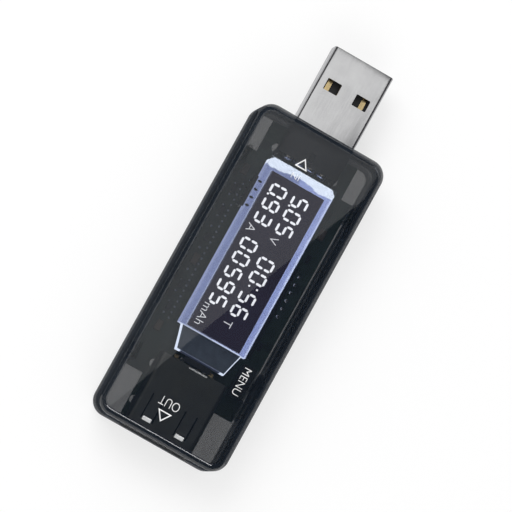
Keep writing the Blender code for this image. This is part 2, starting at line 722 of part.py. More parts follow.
def make_plug_insulator():
    """The plug's moulding: a tongue in the lower half of the sleeve and a block that closes its rear."""
    width = PLUG_WIDTH - 2 * (PLUG_SHEET + INSERT_CLEARANCE)
    height = PLUG_HEIGHT - 2 * (PLUG_SHEET + INSERT_CLEARANCE)
    edge = PLUG_EDGE_RADIUS - PLUG_SHEET
    tongue_top = plug_contact_height()
    tongue_tip = PLUG_TIP_X - PLUG_TONGUE_SETBACK
    insulator = place(
        "usb_plug_insulator",
        bevelled_box_mesh("plug_moulding", (tongue_tip - PLUG_REAR_X, width, height), edge, 3, along=0),
        "black_insulator",
        ((tongue_tip + PLUG_REAR_X) / 2, 0, PLUG_CENTRE_Z),
    )
    block_front = PLUG_REAR_X + PLUG_BLOCK_LENGTH
    cavity = ((block_front, -width, tongue_top), (PLUG_TIP_X, width, PLUG_CENTRE_Z + height))
    boolean(insulator, "DIFFERENCE", make_cutter("plug_cavity", boxes_mesh("plug_cavity", [cavity])))
    slots = []
    reach = CONTACT_WIDTH / 2 + CONTACT_SLOT_CLEARANCE
    for y in CONTACT_ROWS:
        slots.append(
            (
                (PLUG_REAR_X - OVERSHOOT, y - reach, tongue_top - CONTACT_SLOT_CLEARANCE),
                (block_front + CONTACT_SLOT_CLEARANCE, y + reach, tongue_top + 2 * CONTACT_SHEET),
            )
        )
    boolean(insulator, "DIFFERENCE", make_cutter("plug_slots", boxes_mesh("plug_slots", slots)))
    return insulator


def make_plug_contacts():
    """Four gilt strips along the tongue, each bent down behind the moulding to a foot on the board."""
    level = plug_contact_height() + SOLDER_GAP + CONTACT_SHEET / 2
    foot_level = BOARD_TOP + SOLDER_GAP + CONTACT_SHEET / 2
    back = PLUG_REAR_X - 2 * CONTACT_SHEET
    for number, y in enumerate(CONTACT_ROWS, 1):
        set_back = 0.0008 if abs(y) > CONTACT_WIDTH * 2 else 0.0018
        path = [
            (PLUG_TIP_X - PLUG_TONGUE_SETBACK - set_back, level),
            (back, level),
            (back, foot_level),
            (back - CONTACT_FOOT, foot_level),
        ]
        mesh = outline_mesh("plug_contact", strip_outline(path, CONTACT_SHEET), CONTACT_WIDTH, upright="XZ")
        place(f"usb_plug_contact_{number}", mesh, "gold_contact", (0, y, 0))


# ---- USB socket -----------------------------------------------------------------------------------
def socket_leg_places():
    """The socket shell's four legs, in two pairs over the board's tail."""
    y = SOCKET_OUTER_WIDTH / 2 - SOCKET_SHEET / 2
    front = BOARD_SOCKET_END + 2.2 * SOCKET_LEG_WIDTH
    rear = SOCKET_REAR_X - 1.5 * SOCKET_LEG_WIDTH
    return [(x, side * y) for x in (front, rear) for side in (1, -1)]


def spring_path():
    """A shell spring's centre line in XZ, from its root in the upper sheet towards the mouth."""
    root_x = SOCKET_MOUTH_X + SPRING_WINDOW_FROM_MOUTH + SPRING_LENGTH + SPRING_SLOT
    root_z = SOCKET_CENTRE_Z + SOCKET_OUTER_HEIGHT / 2 - SOCKET_SHEET / 2
    tip_x = root_x - SPRING_LENGTH
    return [
        (root_x + SOCKET_SHEET, root_z),
        (root_x - SPRING_LENGTH * 0.15, root_z),
        (root_x - SPRING_LENGTH * 0.75, root_z - SPRING_DIP),
        (tip_x + SPRING_LENGTH * 0.08, root_z - SPRING_DIP * 0.6),
        (tip_x, root_z),
    ]


def make_socket_shell():
    """The socket's folded steel shell, with two springs cut from its upper face, two below and four legs."""
    centre = ((SOCKET_MOUTH_X + SOCKET_REAR_X) / 2, 0, SOCKET_CENTRE_Z)
    size = (SOCKET_LENGTH, SOCKET_OUTER_WIDTH, SOCKET_OUTER_HEIGHT)
    sleeve = bevelled_box_mesh("socket_sleeve", size, 2 * SOCKET_SHEET, 3, along=0)
    shell = place("usb_socket_shell", sleeve, "plated_steel", centre)
    hollow = bevelled_box_mesh(
        "socket_hollow",
        (SOCKET_LENGTH + 2 * OVERSHOOT, SOCKET_INNER_WIDTH, SOCKET_INNER_HEIGHT),
        SOCKET_SHEET,
        3,
        along=0,
    )
    boolean(shell, "DIFFERENCE", make_cutter("socket_hollow", hollow, centre))
    near = SOCKET_MOUTH_X + SPRING_WINDOW_FROM_MOUTH
    far = near + SPRING_LENGTH + SPRING_SLOT
    windows = []
    for y in (-SPRING_SPACING / 2, SPRING_SPACING / 2):
        reach = SPRING_WIDTH / 2 + SPRING_SLOT
        windows.append(
            (
                (near, y - reach, SOCKET_CENTRE_Z - SOCKET_OUTER_HEIGHT / 2 - OVERSHOOT),
                (far, y + reach, SOCKET_CENTRE_Z + SOCKET_OUTER_HEIGHT / 2 + OVERSHOOT),
            )
        )
    boolean(shell, "DIFFERENCE", make_cutter("spring_windows", boxes_mesh("spring_windows", windows)))
    upper = strip_outline(spring_path(), SOCKET_SHEET * 0.8)
    lower = [(x, 2 * SOCKET_CENTRE_Z - z) for x, z in reversed(upper)]
    for face, outline in (("upper", upper), ("lower", lower)):
        for label, y in (("left", SPRING_SPACING / 2), ("right", -SPRING_SPACING / 2)):
            name = f"spring_{face}_{label}"
            mesh = outline_mesh(name, outline, SPRING_WIDTH, upright="XZ")
            boolean(shell, "UNION", make_cutter(name, mesh, (0, y, 0)))
    legs = []
    for x, y in socket_leg_places():
        legs.append(
            (
                (x - SOCKET_LEG_WIDTH / 2, y - SOCKET_SHEET / 2, BOARD_UNDERSIDE - LEAD_STAND_OUT),
                (x + SOCKET_LEG_WIDTH / 2, y + SOCKET_SHEET / 2, SOCKET_CENTRE_Z),
            )
        )
    boolean(shell, "UNION", make_cutter("socket_legs", boxes_mesh("socket_legs", legs)))
    return shell


def socket_tongue_span():
    """The lower and upper faces of the socket's tongue."""
    top = SOCKET_CENTRE_Z + SOCKET_INNER_HEIGHT / 2 - SOCKET_TONGUE_ABOVE
    return top - SOCKET_TONGUE_THICKNESS, top


def make_socket_insulator():
    """The socket's moulding: a rear block, and a tongue that a plug's cavity slides over."""
    low, high = socket_tongue_span()
    block_front = SOCKET_REAR_X - SOCKET_BLOCK_LENGTH
    block_rear = SOCKET_REAR_X - SOCKET_SHEET
    size = (
        block_rear - block_front,
        SOCKET_INNER_WIDTH - 2 * INSERT_CLEARANCE,
        SOCKET_INNER_HEIGHT - 2 * INSERT_CLEARANCE,
    )
    insulator = place(
        "usb_socket_insulator",
        bevelled_box_mesh("usb_socket_insulator", size, SOCKET_SHEET, 3, along=0),
        "black_insulator",
        ((block_rear + block_front) / 2, 0, SOCKET_CENTRE_Z),
    )
    tongue = boxes_mesh(
        "socket_tongue",
        [
            (
                (block_front - SOCKET_TONGUE_LENGTH, -SOCKET_TONGUE_WIDTH / 2, low),
                (block_front + OVERSHOOT, SOCKET_TONGUE_WIDTH / 2, high),
            )
        ],
    )
    boolean(insulator, "UNION", make_cutter("socket_tongue", tongue))
    slots = []
    reach = CONTACT_WIDTH / 2 + CONTACT_SLOT_CLEARANCE
    for y in CONTACT_ROWS:
        slots.append(
            (
                (block_front - SOCKET_TONGUE_LENGTH + 2 * CONTACT_WIDTH / 3, y - reach, low - CONTACT_SHEET),
                (SOCKET_REAR_X + OVERSHOOT, y + reach, low + CONTACT_SHEET + CONTACT_SLOT_CLEARANCE),
            )
        )
    boolean(insulator, "DIFFERENCE", make_cutter("socket_slots", boxes_mesh("socket_slots", slots)))
    return insulator


def make_socket_contacts():
    """Four gilt strips under the tongue, each bent down behind the moulding to a foot on the board."""
    low, _ = socket_tongue_span()
    block_front = SOCKET_REAR_X - SOCKET_BLOCK_LENGTH
    level = low + CONTACT_SHEET / 2
    foot_level = BOARD_TOP + SOLDER_GAP + CONTACT_SHEET / 2
    back = SOCKET_REAR_X + CONTACT_SHEET
    for number, y in enumerate(CONTACT_ROWS, 1):
        tip = block_front - SOCKET_TONGUE_LENGTH + CONTACT_WIDTH
        path = [
            (tip, level),
            (tip + 2 * CONTACT_WIDTH, level - CONTACT_SHEET * 0.8),
            (block_front - CONTACT_WIDTH / 2, level),
            (back, level),
            (back, foot_level),
            (back + CONTACT_FOOT, foot_level),
        ]
        mesh = outline_mesh("socket_contact", strip_outline(path, CONTACT_SHEET), CONTACT_WIDTH, upright="XZ")
        place(f"usb_socket_contact_{number}", mesh, "gold_contact", (0, y, 0))


# ---- Display --------------------------------------------------------------------------------------
def slab(name, finish, x_low, x_high, width, z, thickness):
    """A flat rectangular layer of the display, centred on the stick."""
    mesh = boxes_mesh(name, [((x_low, -width / 2, 0), (x_high, width / 2, thickness))])
    return place(name, mesh, finish, (0, 0, z))


def make_display_cell():
    """The display's two glasses with a polariser on each outer face. The lower glass has bare ledges."""
    view = (VIEW_PLUG_SIDE_X - VIEW_LENGTH, VIEW_PLUG_SIDE_X, VIEW_WIDTH)
    ledge_end = GUIDE_PLUG_SIDE_X - LEDGE_GLASS_MARGIN
    ledge = (VIEW_PLUG_SIDE_X - VIEW_LENGTH, ledge_end, GUIDE_WIDTH - 2 * LEDGE_GLASS_MARGIN)
    slab("display_front_polariser", "polariser_film", *view, FRONT_POLARISER_Z, POLARISER_THICKNESS)
    slab("display_front_glass", "display_glass", *view, FRONT_GLASS_Z, GLASS_THICKNESS)
    slab("display_ledge_glass", "display_glass", *ledge, LEDGE_GLASS_Z, GLASS_THICKNESS)
    slab("display_rear_polariser", "polariser_film", *view, REAR_POLARISER_Z, POLARISER_THICKNESS)


def guide_outline():
    """The light guide from above: a plate with two cut corners, and a neck that narrows to the lamp."""
    half = [
        (LAMP_FACE_X, NECK_WIDTH_AT_LAMP / 2),
        (GUIDE_NECK_X, NECK_WIDTH_AT_GUIDE / 2),
        (GUIDE_NECK_X, GUIDE_WIDTH / 2),
        (GUIDE_PLUG_SIDE_X - GUIDE_CORNER_CUT, GUIDE_WIDTH / 2),
        (GUIDE_PLUG_SIDE_X, GUIDE_WIDTH / 2 - GUIDE_CORNER_CUT),
    ]
    return half + [(x, -y) for x, y in reversed(half)]


def make_backlight():
    """The clear guide, the white film under it, the dark film over its neck, and the lamp with its leads."""
    guide = outline_mesh("light_guide", guide_outline(), GUIDE_THICKNESS)
    place("light_guide", guide, "light_guide", (0, 0, GUIDE_Z))
    film = outline_mesh("reflector_film", guide_outline(), FILM_THICKNESS)
    place("reflector_film", film, "white_film", (0, 0, FILM_Z))
    inset = 2 * LEDGE_GLASS_MARGIN
    mask = [
        (LAMP_FACE_X + inset, NECK_WIDTH_AT_LAMP / 2 - inset),
        (GUIDE_NECK_X - inset, NECK_WIDTH_AT_GUIDE / 2 - 2 * inset),
        (GUIDE_NECK_X - inset, -NECK_WIDTH_AT_GUIDE / 2 + 2 * inset),
        (LAMP_FACE_X + inset, -NECK_WIDTH_AT_LAMP / 2 + inset),
    ]
    mask_z = GUIDE_Z + GUIDE_THICKNESS + DISPLAY_GAP
    place("neck_mask", outline_mesh("neck_mask", mask, FILM_THICKNESS), "polariser_film", (0, 0, mask_z))
    lamp_z = GUIDE_Z + (GUIDE_THICKNESS - LAMP_HEIGHT) / 2
    lamp_high = LAMP_FACE_X - LAMP_GUIDE_GAP
    lamp_low = lamp_high - LAMP_LENGTH
    slab("backlight_lamp", "lamp_housing", lamp_low, lamp_high, LAMP_WIDTH, lamp_z, LAMP_HEIGHT)
    half = LAMP_LEAD_THICKNESS / 2
    for number, (x, y) in enumerate(lamp_lead_places(), 1):
        mesh = boxes_mesh(
            "lamp_lead",
            [((-half, -half, BOARD_UNDERSIDE - LEAD_STAND_OUT), (half, half, lamp_z - SOLDER_GAP))],
        )
        place(f"backlight_lead_{number}", mesh, "tinned_metal", (x, y, 0))


def lamp_lead_places():
    """The lamp's two leads, under its ends."""
    x = LAMP_FACE_X - LAMP_GUIDE_GAP - LAMP_LENGTH / 2
    return [(x, LAMP_LEAD_SPACING / 2), (x, -LAMP_LEAD_SPACING / 2)]


def display_pin_places(count, first_from_view, side):
    """The holes of one row of display pins, counted from the plug end."""
    first = VIEW_PLUG_SIDE_X - first_from_view
    y = side * (GUIDE_WIDTH / 2 + PIN_GLASS_GAP + PIN_SHEET / 2)
    return [(first - i * PIN_PITCH, y) for i in range(count)]


def make_display_pins(name, count, first_from_view, side):
    """A row of pins that clip over the ledge glass, joined by the bead of resin along its edge."""
    places = display_pin_places(count, first_from_view, side)
    glass_top = LEDGE_GLASS_Z + GLASS_THICKNESS
    y_leg = abs(places[0][1])
    path = [
        (y_leg - PIN_PAD_REACH, glass_top + SOLDER_GAP + PIN_SHEET / 2),
        (y_leg, glass_top + SOLDER_GAP + PIN_SHEET / 2),
        (y_leg, BOARD_UNDERSIDE - LEAD_STAND_OUT),
    ]
    outline = mirrored(strip_outline(path, PIN_SHEET), side)
    bead_low, bead_high = y_leg - PIN_SHEET / 2 + SEAM_GAP / 2, y_leg - PIN_SHEET / 2 + BEAD_WIDTH
    spans = sorted((side * bead_low, side * bead_high))
    xs = [x for x, _ in places]
    bead = boxes_mesh(
        name,
        [
            (
                (min(xs) - PIN_PITCH / 2, spans[0], LEDGE_GLASS_Z),
                (max(xs) + PIN_PITCH / 2, spans[1], glass_top + PIN_SHEET),
            )
        ],
    )
    row = place(name, bead, "tinned_metal")
    for number, (x, _) in enumerate(places, 1):
        pin = outline_mesh("display_pin", outline, PIN_WIDTH, upright="YZ")
        boolean(row, "UNION", make_cutter(f"{name}_{number}", pin, (x, 0, 0)))
    return row


def make_foam_pads():
    """Two foam blocks that stand on the board and carry the display."""
    height = FILM_Z - DISPLAY_GAP - BOARD_TOP - SOLDER_GAP
    for label, direction in (("plug_side", 1), ("socket_side", -1)):
        x = VIEW_CENTRE_X + direction * FOAM_SPACING / 2
        mesh = boxes_mesh(
            "foam",
            [((-FOAM_LENGTH / 2, -FOAM_WIDTH / 2, 0), (FOAM_LENGTH / 2, FOAM_WIDTH / 2, height))],
        )
        place(f"foam_pad_{label}", mesh, "foam", (x, 0, BOARD_TOP + SOLDER_GAP))


# ---- Button and switch ----------------------------------------------------------------------------
def make_menu_button():
    """The button: an oblong cap through the case's side, with a flange inside that keeps it in."""
    cap_outline = rounded_rectangle(BUTTON_LENGTH, BUTTON_HEIGHT, BUTTON_HEIGHT / 2 - SEAM_GAP)
    cap_outer = CASE_WIDTH / 2 - BUTTON_RECESS
    cap_inner = FLANGE_INNER_Y + FLANGE_THICKNESS / 2
    cap = outline_mesh("menu_button", cap_outline, cap_outer - cap_inner, upright="XZ")
    centre = (BUTTON_X, -(cap_outer + cap_inner) / 2, PARTING_HEIGHT)
    button = place("menu_button", cap, "button_plastic", centre)
    flange_outline = rounded_rectangle(
        BUTTON_LENGTH + 2 * FLANGE_MARGIN, BUTTON_HEIGHT + 2 * FLANGE_MARGIN, FLANGE_MARGIN, 3
    )
    flange = outline_mesh("button_flange", flange_outline, FLANGE_THICKNESS, upright="XZ")
    flange_y = -(FLANGE_OUTER_Y + FLANGE_INNER_Y) / 2
    boolean(button, "UNION", make_cutter("button_flange", flange, (BUTTON_X, flange_y, PARTING_HEIGHT)))
    return button


def switch_leg_places():
    """The switch's two pairs of legs."""
    ys = (-SWITCH_FACE_Y + SWITCH_DEPTH * 0.25, -SWITCH_FACE_Y + SWITCH_DEPTH * 0.8)
    return [(BUTTON_X + side * SWITCH_LENGTH * 0.38, y) for side in (1, -1) for y in ys]


def make_switch():
    """The side-acting switch: body with a well, snap dome, plunger and steel cover, all along -Y."""
    body_y = -SWITCH_FACE_Y
    body = place(
        "switch_body",
        boxes_mesh(
            "switch_body",
            [
                (
                    (BUTTON_X - SWITCH_LENGTH / 2, body_y, BOARD_TOP + SOLDER_GAP),
                    (BUTTON_X + SWITCH_LENGTH / 2, body_y + SWITCH_DEPTH, BOARD_TOP + SWITCH_HEIGHT),
                )
            ],
        ),
        "black_insulator",
    )
    well = cylinder_mesh("switch_well", PLUNGER_FOOT_RADIUS + PLUNGER_CLEARANCE, 2 * SWITCH_WELL_DEPTH, 1)
    boolean(body, "DIFFERENCE", make_cutter("switch_well", well, (BUTTON_X, body_y, PARTING_HEIGHT)))
    half = LAMP_LEAD_THICKNESS / 2
    legs = []
    for x, y in switch_leg_places():
        legs.append(
            (
                (x - half, y - half, BOARD_UNDERSIDE - LEAD_STAND_OUT),
                (x + half, y + half, BOARD_TOP + SWITCH_HEIGHT / 4),
            )
        )
    boolean(body, "UNION", make_cutter("switch_legs", boxes_mesh("switch_legs", legs)))

    cover_outline = rounded_rectangle(SWITCH_LENGTH, SWITCH_HEIGHT - 2 * SOLDER_GAP, 0.0003, 2)
    cover = place(
        "switch_cover",
        outline_mesh("switch_cover", cover_outline, SWITCH_COVER_SHEET, upright="XZ"),
        "plated_steel",
        (BUTTON_X, -SWITCH_COVER_Y + SWITCH_COVER_SHEET / 2, BOARD_TOP + SWITCH_HEIGHT / 2 + SOLDER_GAP),
    )
    hole = cylinder_mesh("cover_hole", PLUNGER_RADIUS + PLUNGER_CLEARANCE, 4 * SWITCH_COVER_SHEET, 1)
    hole_centre = (BUTTON_X, -SWITCH_COVER_Y, PARTING_HEIGHT)
    boolean(cover, "DIFFERENCE", make_cutter("cover_hole", hole, hole_centre))

    well_bottom = SWITCH_FACE_Y - SWITCH_WELL_DEPTH
    dome_base = well_bottom + SOLDER_GAP
    foot_low = dome_base + DOME_RISE + DOME_SHEET + BUTTON_TRAVEL + SOLDER_GAP
    stem_low = foot_low + PLUNGER_FOOT_THICKNESS / 2
    stem = cylinder_mesh("switch_plunger", PLUNGER_RADIUS, PLUNGER_TIP_Y - stem_low, 1)
    plunger = place(
        "switch_plunger", stem, "button_plastic", (BUTTON_X, -(PLUNGER_TIP_Y + stem_low) / 2, PARTING_HEIGHT)
    )
    foot = cylinder_mesh("plunger_foot", PLUNGER_FOOT_RADIUS, PLUNGER_FOOT_THICKNESS, 1)
    foot_y = -(foot_low + PLUNGER_FOOT_THICKNESS / 2)
    boolean(plunger, "UNION", make_cutter("plunger_foot", foot, (BUTTON_X, foot_y, PARTING_HEIGHT)))
    make_dome(dome_base)


def make_dome(base_y):
    """The snap dome: a shallow arched disc on the well's bottom, turned about the plunger's line."""
    steps = 4
    rows = [(DOME_RADIUS * i / steps, DOME_RISE * (1 - (i / steps) ** 2)) for i in range(steps + 1)]
    profile = [(r, h + DOME_SHEET) for r, h in rows] + [(r, h) for r, h in reversed(rows)]
    bm = bmesh.new()
    verts = [bm.verts.new((r, 0.0, h)) for r, h in profile]
    for a, b in zip(verts, verts[1:]):
        bm.edges.new((a, b))
    mesh = mesh_of(bm, "switch_dome")
    dome = place("switch_dome", mesh, "plated_steel", (BUTTON_X, -base_y, PARTING_HEIGHT))
    dome.rotation_euler = (math.pi / 2, 0.0, 0.0)
    turn = dome.modifiers.new("turn", "SCREW")
    turn.steps = turn.render_steps = ROUND_SIDES
    turn.use_merge_vertices = True
    turn.merge_threshold = 1e-6
    return dome


# ---- Parts on the board ---------------------------------------------------------------------------
def make_leaded_chip(name, size, legs_per_side, pitch, leg_reach, leg_width, spot):
    """A moulded chip under the board, with a row of bent legs on each of its long sides."""
    length, width, height = size
    mesh = bevelled_box_mesh(name, (length, width, height - CHIP_STAND), height * 0.12, 1)
    mesh.transform(Matrix.Translation((0, 0, CHIP_STAND + (height - CHIP_STAND) / 2)))
    body = hang(place(name, mesh, "chip_resin"), spot)
    path = [
        (width / 2 - CHIP_LEG_SHEET, height * 0.5),
        (width / 2 + leg_reach * 0.4, height * 0.5),
        (width / 2 + leg_reach * 0.55, CHIP_LEG_SHEET / 2),
        (width / 2 + leg_reach, CHIP_LEG_SHEET / 2),
    ]
    for side, label in ((1, "left"), (-1, "right")):
        outline = mirrored(strip_outline(path, CHIP_LEG_SHEET), side)
        for i in range(legs_per_side):
            leg_name = f"{name}_leg_{label}_{i + 1}"
            x = (i - (legs_per_side - 1) / 2) * pitch
            leg = make_cutter(leg_name, outline_mesh(leg_name, outline, leg_width, upright="YZ"), (x, 0, 0))
            leg.parent = body
            boolean(body, "UNION", leg)
    return body


def block_mesh(name, size):
    """A block with its edges broken, standing on z = 0."""
    mesh = bevelled_box_mesh(name, size, min(size) * 0.12, 1)
    mesh.transform(Matrix.Translation((0, 0, size[2] / 2)))
    return mesh


def hang(obj, spot):
    """Hangs a part made at the origin under the board, at (distance from the plug end, distance across)."""
    obj.location = (PLUG_END_X - spot[0], spot[1], BOARD_UNDERSIDE - SOLDER_GAP)
    obj.rotation_euler = (math.pi, 0.0, 0.0)
    return obj


def make_edge_rows(name, finish, size, rows):
    """Small blocks along the board's two edges, on its upper face."""
    number = 0
    for side, inset, distances in zip((1, -1), ROW_FROM_EDGE, rows):
        for distance in distances:
            number += 1
            spot = (PLUG_END_X - distance, side * (BOARD_HALF_WIDTH - inset), BOARD_TOP + SOLDER_GAP)
            place(f"{name}_{number}", block_mesh(name, size), finish, spot)


def make_electronics():
    """The chips under the board, and the small parts along its edges."""
    for name, values in LEADED_CHIPS.items():
        make_leaded_chip(name, *values)
    for name, (finish, size, spot) in BLOCK_PARTS.items():
        hang(place(name, block_mesh(name, size), finish), spot)
    make_edge_rows("capacitor", "ceramic_tan", CAPACITOR_SIZE, CAPACITORS)
    make_edge_rows("resistor", "chip_resin", RESISTOR_SIZE, RESISTORS)


def lead_hole_list():
    """Every hole through the board, as (x, y, radius)."""
    slots = [(x, y, PLUG_LEG_WIDTH / 2 + 2 * LEAD_HOLE_RADIUS / 3) for x, y in plug_leg_places()]
    slots += [(x, y, SOCKET_LEG_WIDTH / 2 + LEAD_HOLE_RADIUS / 3) for x, y in socket_leg_places()]
    leads = lamp_lead_places() + switch_leg_places()
    leads += display_pin_places(COMMON_PIN_COUNT, COMMON_PIN_FIRST_FROM_VIEW, 1)
    leads += display_pin_places(SEGMENT_PIN_COUNT, SEGMENT_PIN_FIRST_FROM_VIEW, -1)
    return slots + [(x, y, LEAD_HOLE_RADIUS) for x, y in leads]


def build():
    """Makes the whole meter."""
    openings = connector_openings()
    button_hole = button_opening()
    make_top_shell((*openings, button_hole))
    make_bottom_shell((*openings, button_hole))
    make_board(lead_hole_list())
    make_plug_shell()
    make_plug_insulator()
    make_plug_contacts()
    make_socket_shell()
    make_socket_insulator()
    make_socket_contacts()
    make_display_cell()
    make_backlight()
    make_display_pins("display_pins_common", COMMON_PIN_COUNT, COMMON_PIN_FIRST_FROM_VIEW, 1)
    make_display_pins("display_pins_segment", SEGMENT_PIN_COUNT, SEGMENT_PIN_FIRST_FROM_VIEW, -1)
    make_foam_pads()
    make_menu_button()
    make_switch()
    make_electronics()


clear_scene()
PARTS = make_collection("usb_power_meter")
CUTTERS = make_collection("cutters")
build()
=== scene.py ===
"""USB power meter: the finishes, the fine meshes, the display's characters and the printing.

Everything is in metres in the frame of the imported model: +X towards the plug's tip, +Z out of the
display, -Y towards the menu button.
"""

import logging
import math
from dataclasses import dataclass, field
from enum import Enum
from typing import Iterable, Sequence

import bmesh
import bpy
from mathutils import Matrix, Vector

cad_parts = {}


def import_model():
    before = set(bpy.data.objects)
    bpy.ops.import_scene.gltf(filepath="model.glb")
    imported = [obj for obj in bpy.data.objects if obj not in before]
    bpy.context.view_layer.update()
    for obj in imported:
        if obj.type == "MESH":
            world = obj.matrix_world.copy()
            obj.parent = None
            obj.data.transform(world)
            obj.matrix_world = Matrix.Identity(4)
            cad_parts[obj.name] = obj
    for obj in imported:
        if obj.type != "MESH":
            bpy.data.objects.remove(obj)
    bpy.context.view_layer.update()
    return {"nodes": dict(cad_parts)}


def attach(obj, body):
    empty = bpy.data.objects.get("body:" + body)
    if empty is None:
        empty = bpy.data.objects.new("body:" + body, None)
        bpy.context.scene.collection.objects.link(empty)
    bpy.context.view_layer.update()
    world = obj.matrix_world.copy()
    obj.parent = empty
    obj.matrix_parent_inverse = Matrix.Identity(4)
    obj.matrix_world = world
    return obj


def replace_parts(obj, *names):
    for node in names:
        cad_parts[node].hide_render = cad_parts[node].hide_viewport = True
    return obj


LOG = logging.getLogger("usb_power_meter")
Point = tuple[float, float, float]
Colour = tuple[float, float, float]
Pair = tuple[float, float]
Object = bpy.types.Object
Socket = bpy.types.NodeSocket
Nodes = dict[str, Object]

CASE_BODY = "case"
BUTTON_BODY = "button"
FRONT_HEIGHT = 0.0124
BOARD_TOP = 0.0040
BOARD_LOW = 0.0030


class Axis(Enum):
    """The world axis that a prism, a rod or a row runs along."""

    X = 0
    Y = 1
    Z = 2


class Reading(Enum):
    """Which way a line of characters reads on the front: (direction of reading, tops of characters)."""

    ALONG_DISPLAY = ((-1.0, 0.0), (0.0, -1.0))
    FROM_PLUG_END = ((0.0, 1.0), (-1.0, 0.0))

    def place(self, across: float, up: float, origin: Pair) -> Pair:
        """A point of the line of characters as (x, y) on the front.

        Args:
            across: distance along the line from its start.
            up: distance above the characters' feet.
            origin: where the line starts, as (x, y).

        Returns:
            The point as (x, y) in the frame.
        """
        (ax, ay), (ux, uy) = self.value
        return origin[0] + ax * across + ux * up, origin[1] + ay * across + uy * up


# ---- Meshes -----------------------------------------------------------------------------------------
def link(obj: Object) -> Object:
    """Puts an object in the scene and returns it."""
    bpy.context.scene.collection.objects.link(obj)
    return obj


def object_from(name: str, bm: bmesh.types.BMesh) -> Object:
    """Turns a bmesh into a linked object with its faces outwards.

    Args:
        name: the object's and the mesh's name.
        bm: the mesh being built, which is freed.

    Returns:
        The object, at the origin.
    """
    bmesh.ops.remove_doubles(bm, verts=bm.verts, dist=1e-7)
    bmesh.ops.recalc_face_normals(bm, faces=bm.faces)
    mesh = bpy.data.meshes.new(name)
    bm.to_mesh(mesh)
    bm.free()
    return link(bpy.data.objects.new(name, mesh))


def smooth(obj: Object, angle: float = 30.0) -> None:
    """Shades an object smooth, with edges sharper than angle in degrees left sharp."""
    obj.data.shade_smooth()
    obj.data.set_sharp_from_angle(angle=math.radians(angle))


def baked(obj: Object) -> Object:
    """Applies an object's modifiers and removes them.

    Args:
        obj: the object whose evaluated mesh becomes its own mesh.

    Returns:
        The same object.
    """
    bpy.context.view_layer.update()
    evaluated = obj.evaluated_get(bpy.context.evaluated_depsgraph_get())
    mesh = bpy.data.meshes.new_from_object(evaluated)
    obj.modifiers.clear()
    old = obj.data
    obj.data = mesh
    bpy.data.meshes.remove(old)
    mesh.name = obj.name
    return obj


def combine(obj: Object, others: Iterable[Object], operation: str) -> Object:
    """Joins other solids to obj, or cuts them out of it, and removes them.

    Args:
        obj: the solid to change.
        others: the solids to join or cut.
        operation: UNION or DIFFERENCE.

    Returns:
        obj, with the result as its mesh.
    """
    others = list(others)
    for other in others:
        step = obj.modifiers.new(other.name, "BOOLEAN")
        step.operation = operation
        step.solver = "EXACT"
        step.object = other
    baked(obj)
    for other in others:
        mesh = other.data
        bpy.data.objects.remove(other)
        bpy.data.meshes.remove(mesh)
    return obj


def rounded_outline(half_x: float, half_y: float, radius: float, steps: int) -> list[Pair]:
    """A rectangle with round corners, anticlockwise.

    Args:
        half_x: half its length.
        half_y: half its width.
        radius: the corners' radius.
        steps: segments in each corner.

    Returns:
        The points of the outline.
    """
    points = []
    for quarter, (sx, sy) in enumerate(((1, 1), (-1, 1), (-1, -1), (1, -1))):
        for i in range(steps + 1):
            a = math.pi / 2 * (quarter + i / steps)
            x, y = sx * (half_x - radius), sy * (half_y - radius)
            points.append((x + radius * math.cos(a), y + radius * math.sin(a)))
    return points


def loft(bm: bmesh.types.BMesh, loops: Sequence[Sequence[Point]], closed: bool = False) -> None:
    """Adds a skin over loops of as many points each, with a flat cap on both ends or joined end to end.

    Args:
        bm: the mesh being built.
        loops: the loops, in order.
        closed: True joins the last loop to the first one, as in a tube with a wall.
    """
    rings = [[bm.verts.new(p) for p in loop] for loop in loops]
    pairs = list(zip(rings, rings[1:]))
    if closed:
        pairs.append((rings[-1], rings[0]))
    count = len(rings[0])
    for low, high in pairs:
        for i in range(count):
            j = (i + 1) % count
            bm.faces.new((low[i], low[j], high[j], high[i]))
    if not closed:
        bm.faces.new(rings[0])
        bm.faces.new(list(reversed(rings[-1])))


def prism(
    name: str, outline: Sequence[Pair], low: float, high: float, axis: Axis = Axis.Z, ease: float = 0.0
) -> Object:
    """A flat outline pulled along an axis, with its two rims eased by a small chamfer.

    Args:
        name: the object's name.
        outline: the outline: (x, y) along Z, (y, z) along X, (x, z) along Y.
        low: where it starts along the axis.
        high: where it ends.
        axis: the axis that it is pulled along.
        ease: the chamfer of both rims.

    Returns:
        The object.
    """
    order = {Axis.Z: (0, 1, 2), Axis.X: (2, 0, 1), Axis.Y: (0, 2, 1)}[axis]
    bm = bmesh.new()
    rings = []
    for height in (low, high):
        rings.append([bm.verts.new([(a, b, height)[k] for k in order]) for a, b in outline])
    for i in range(len(outline)):
        j = (i + 1) % len(outline)
        bm.faces.new((rings[0][i], rings[0][j], rings[1][j], rings[1][i]))
    caps = [bm.faces.new(ring) for ring in rings]
    if ease > 0:
        rims = [e for cap in caps for e in cap.edges]
        bmesh.ops.bevel(bm, geom=rims, offset=ease, segments=2, profile=0.5, affect="EDGES", clamp_overlap=True)
    return object_from(name, bm)


def slab(name: str, low: Point, high: Point, ease: float = 0.0) -> Object:
    """A block between two corners, with eased rims.

    Args:
        name: the object's name.
        low: the corner with the lowest coordinates.
        high: the corner with the highest.
        ease: the chamfer of the rims above and below.

    Returns:
        The block.
    """
    outline = [(high[0], high[1]), (low[0], high[1]), (low[0], low[1]), (high[0], low[1])]
    return prism(name, outline, low[2], high[2], ease=ease)


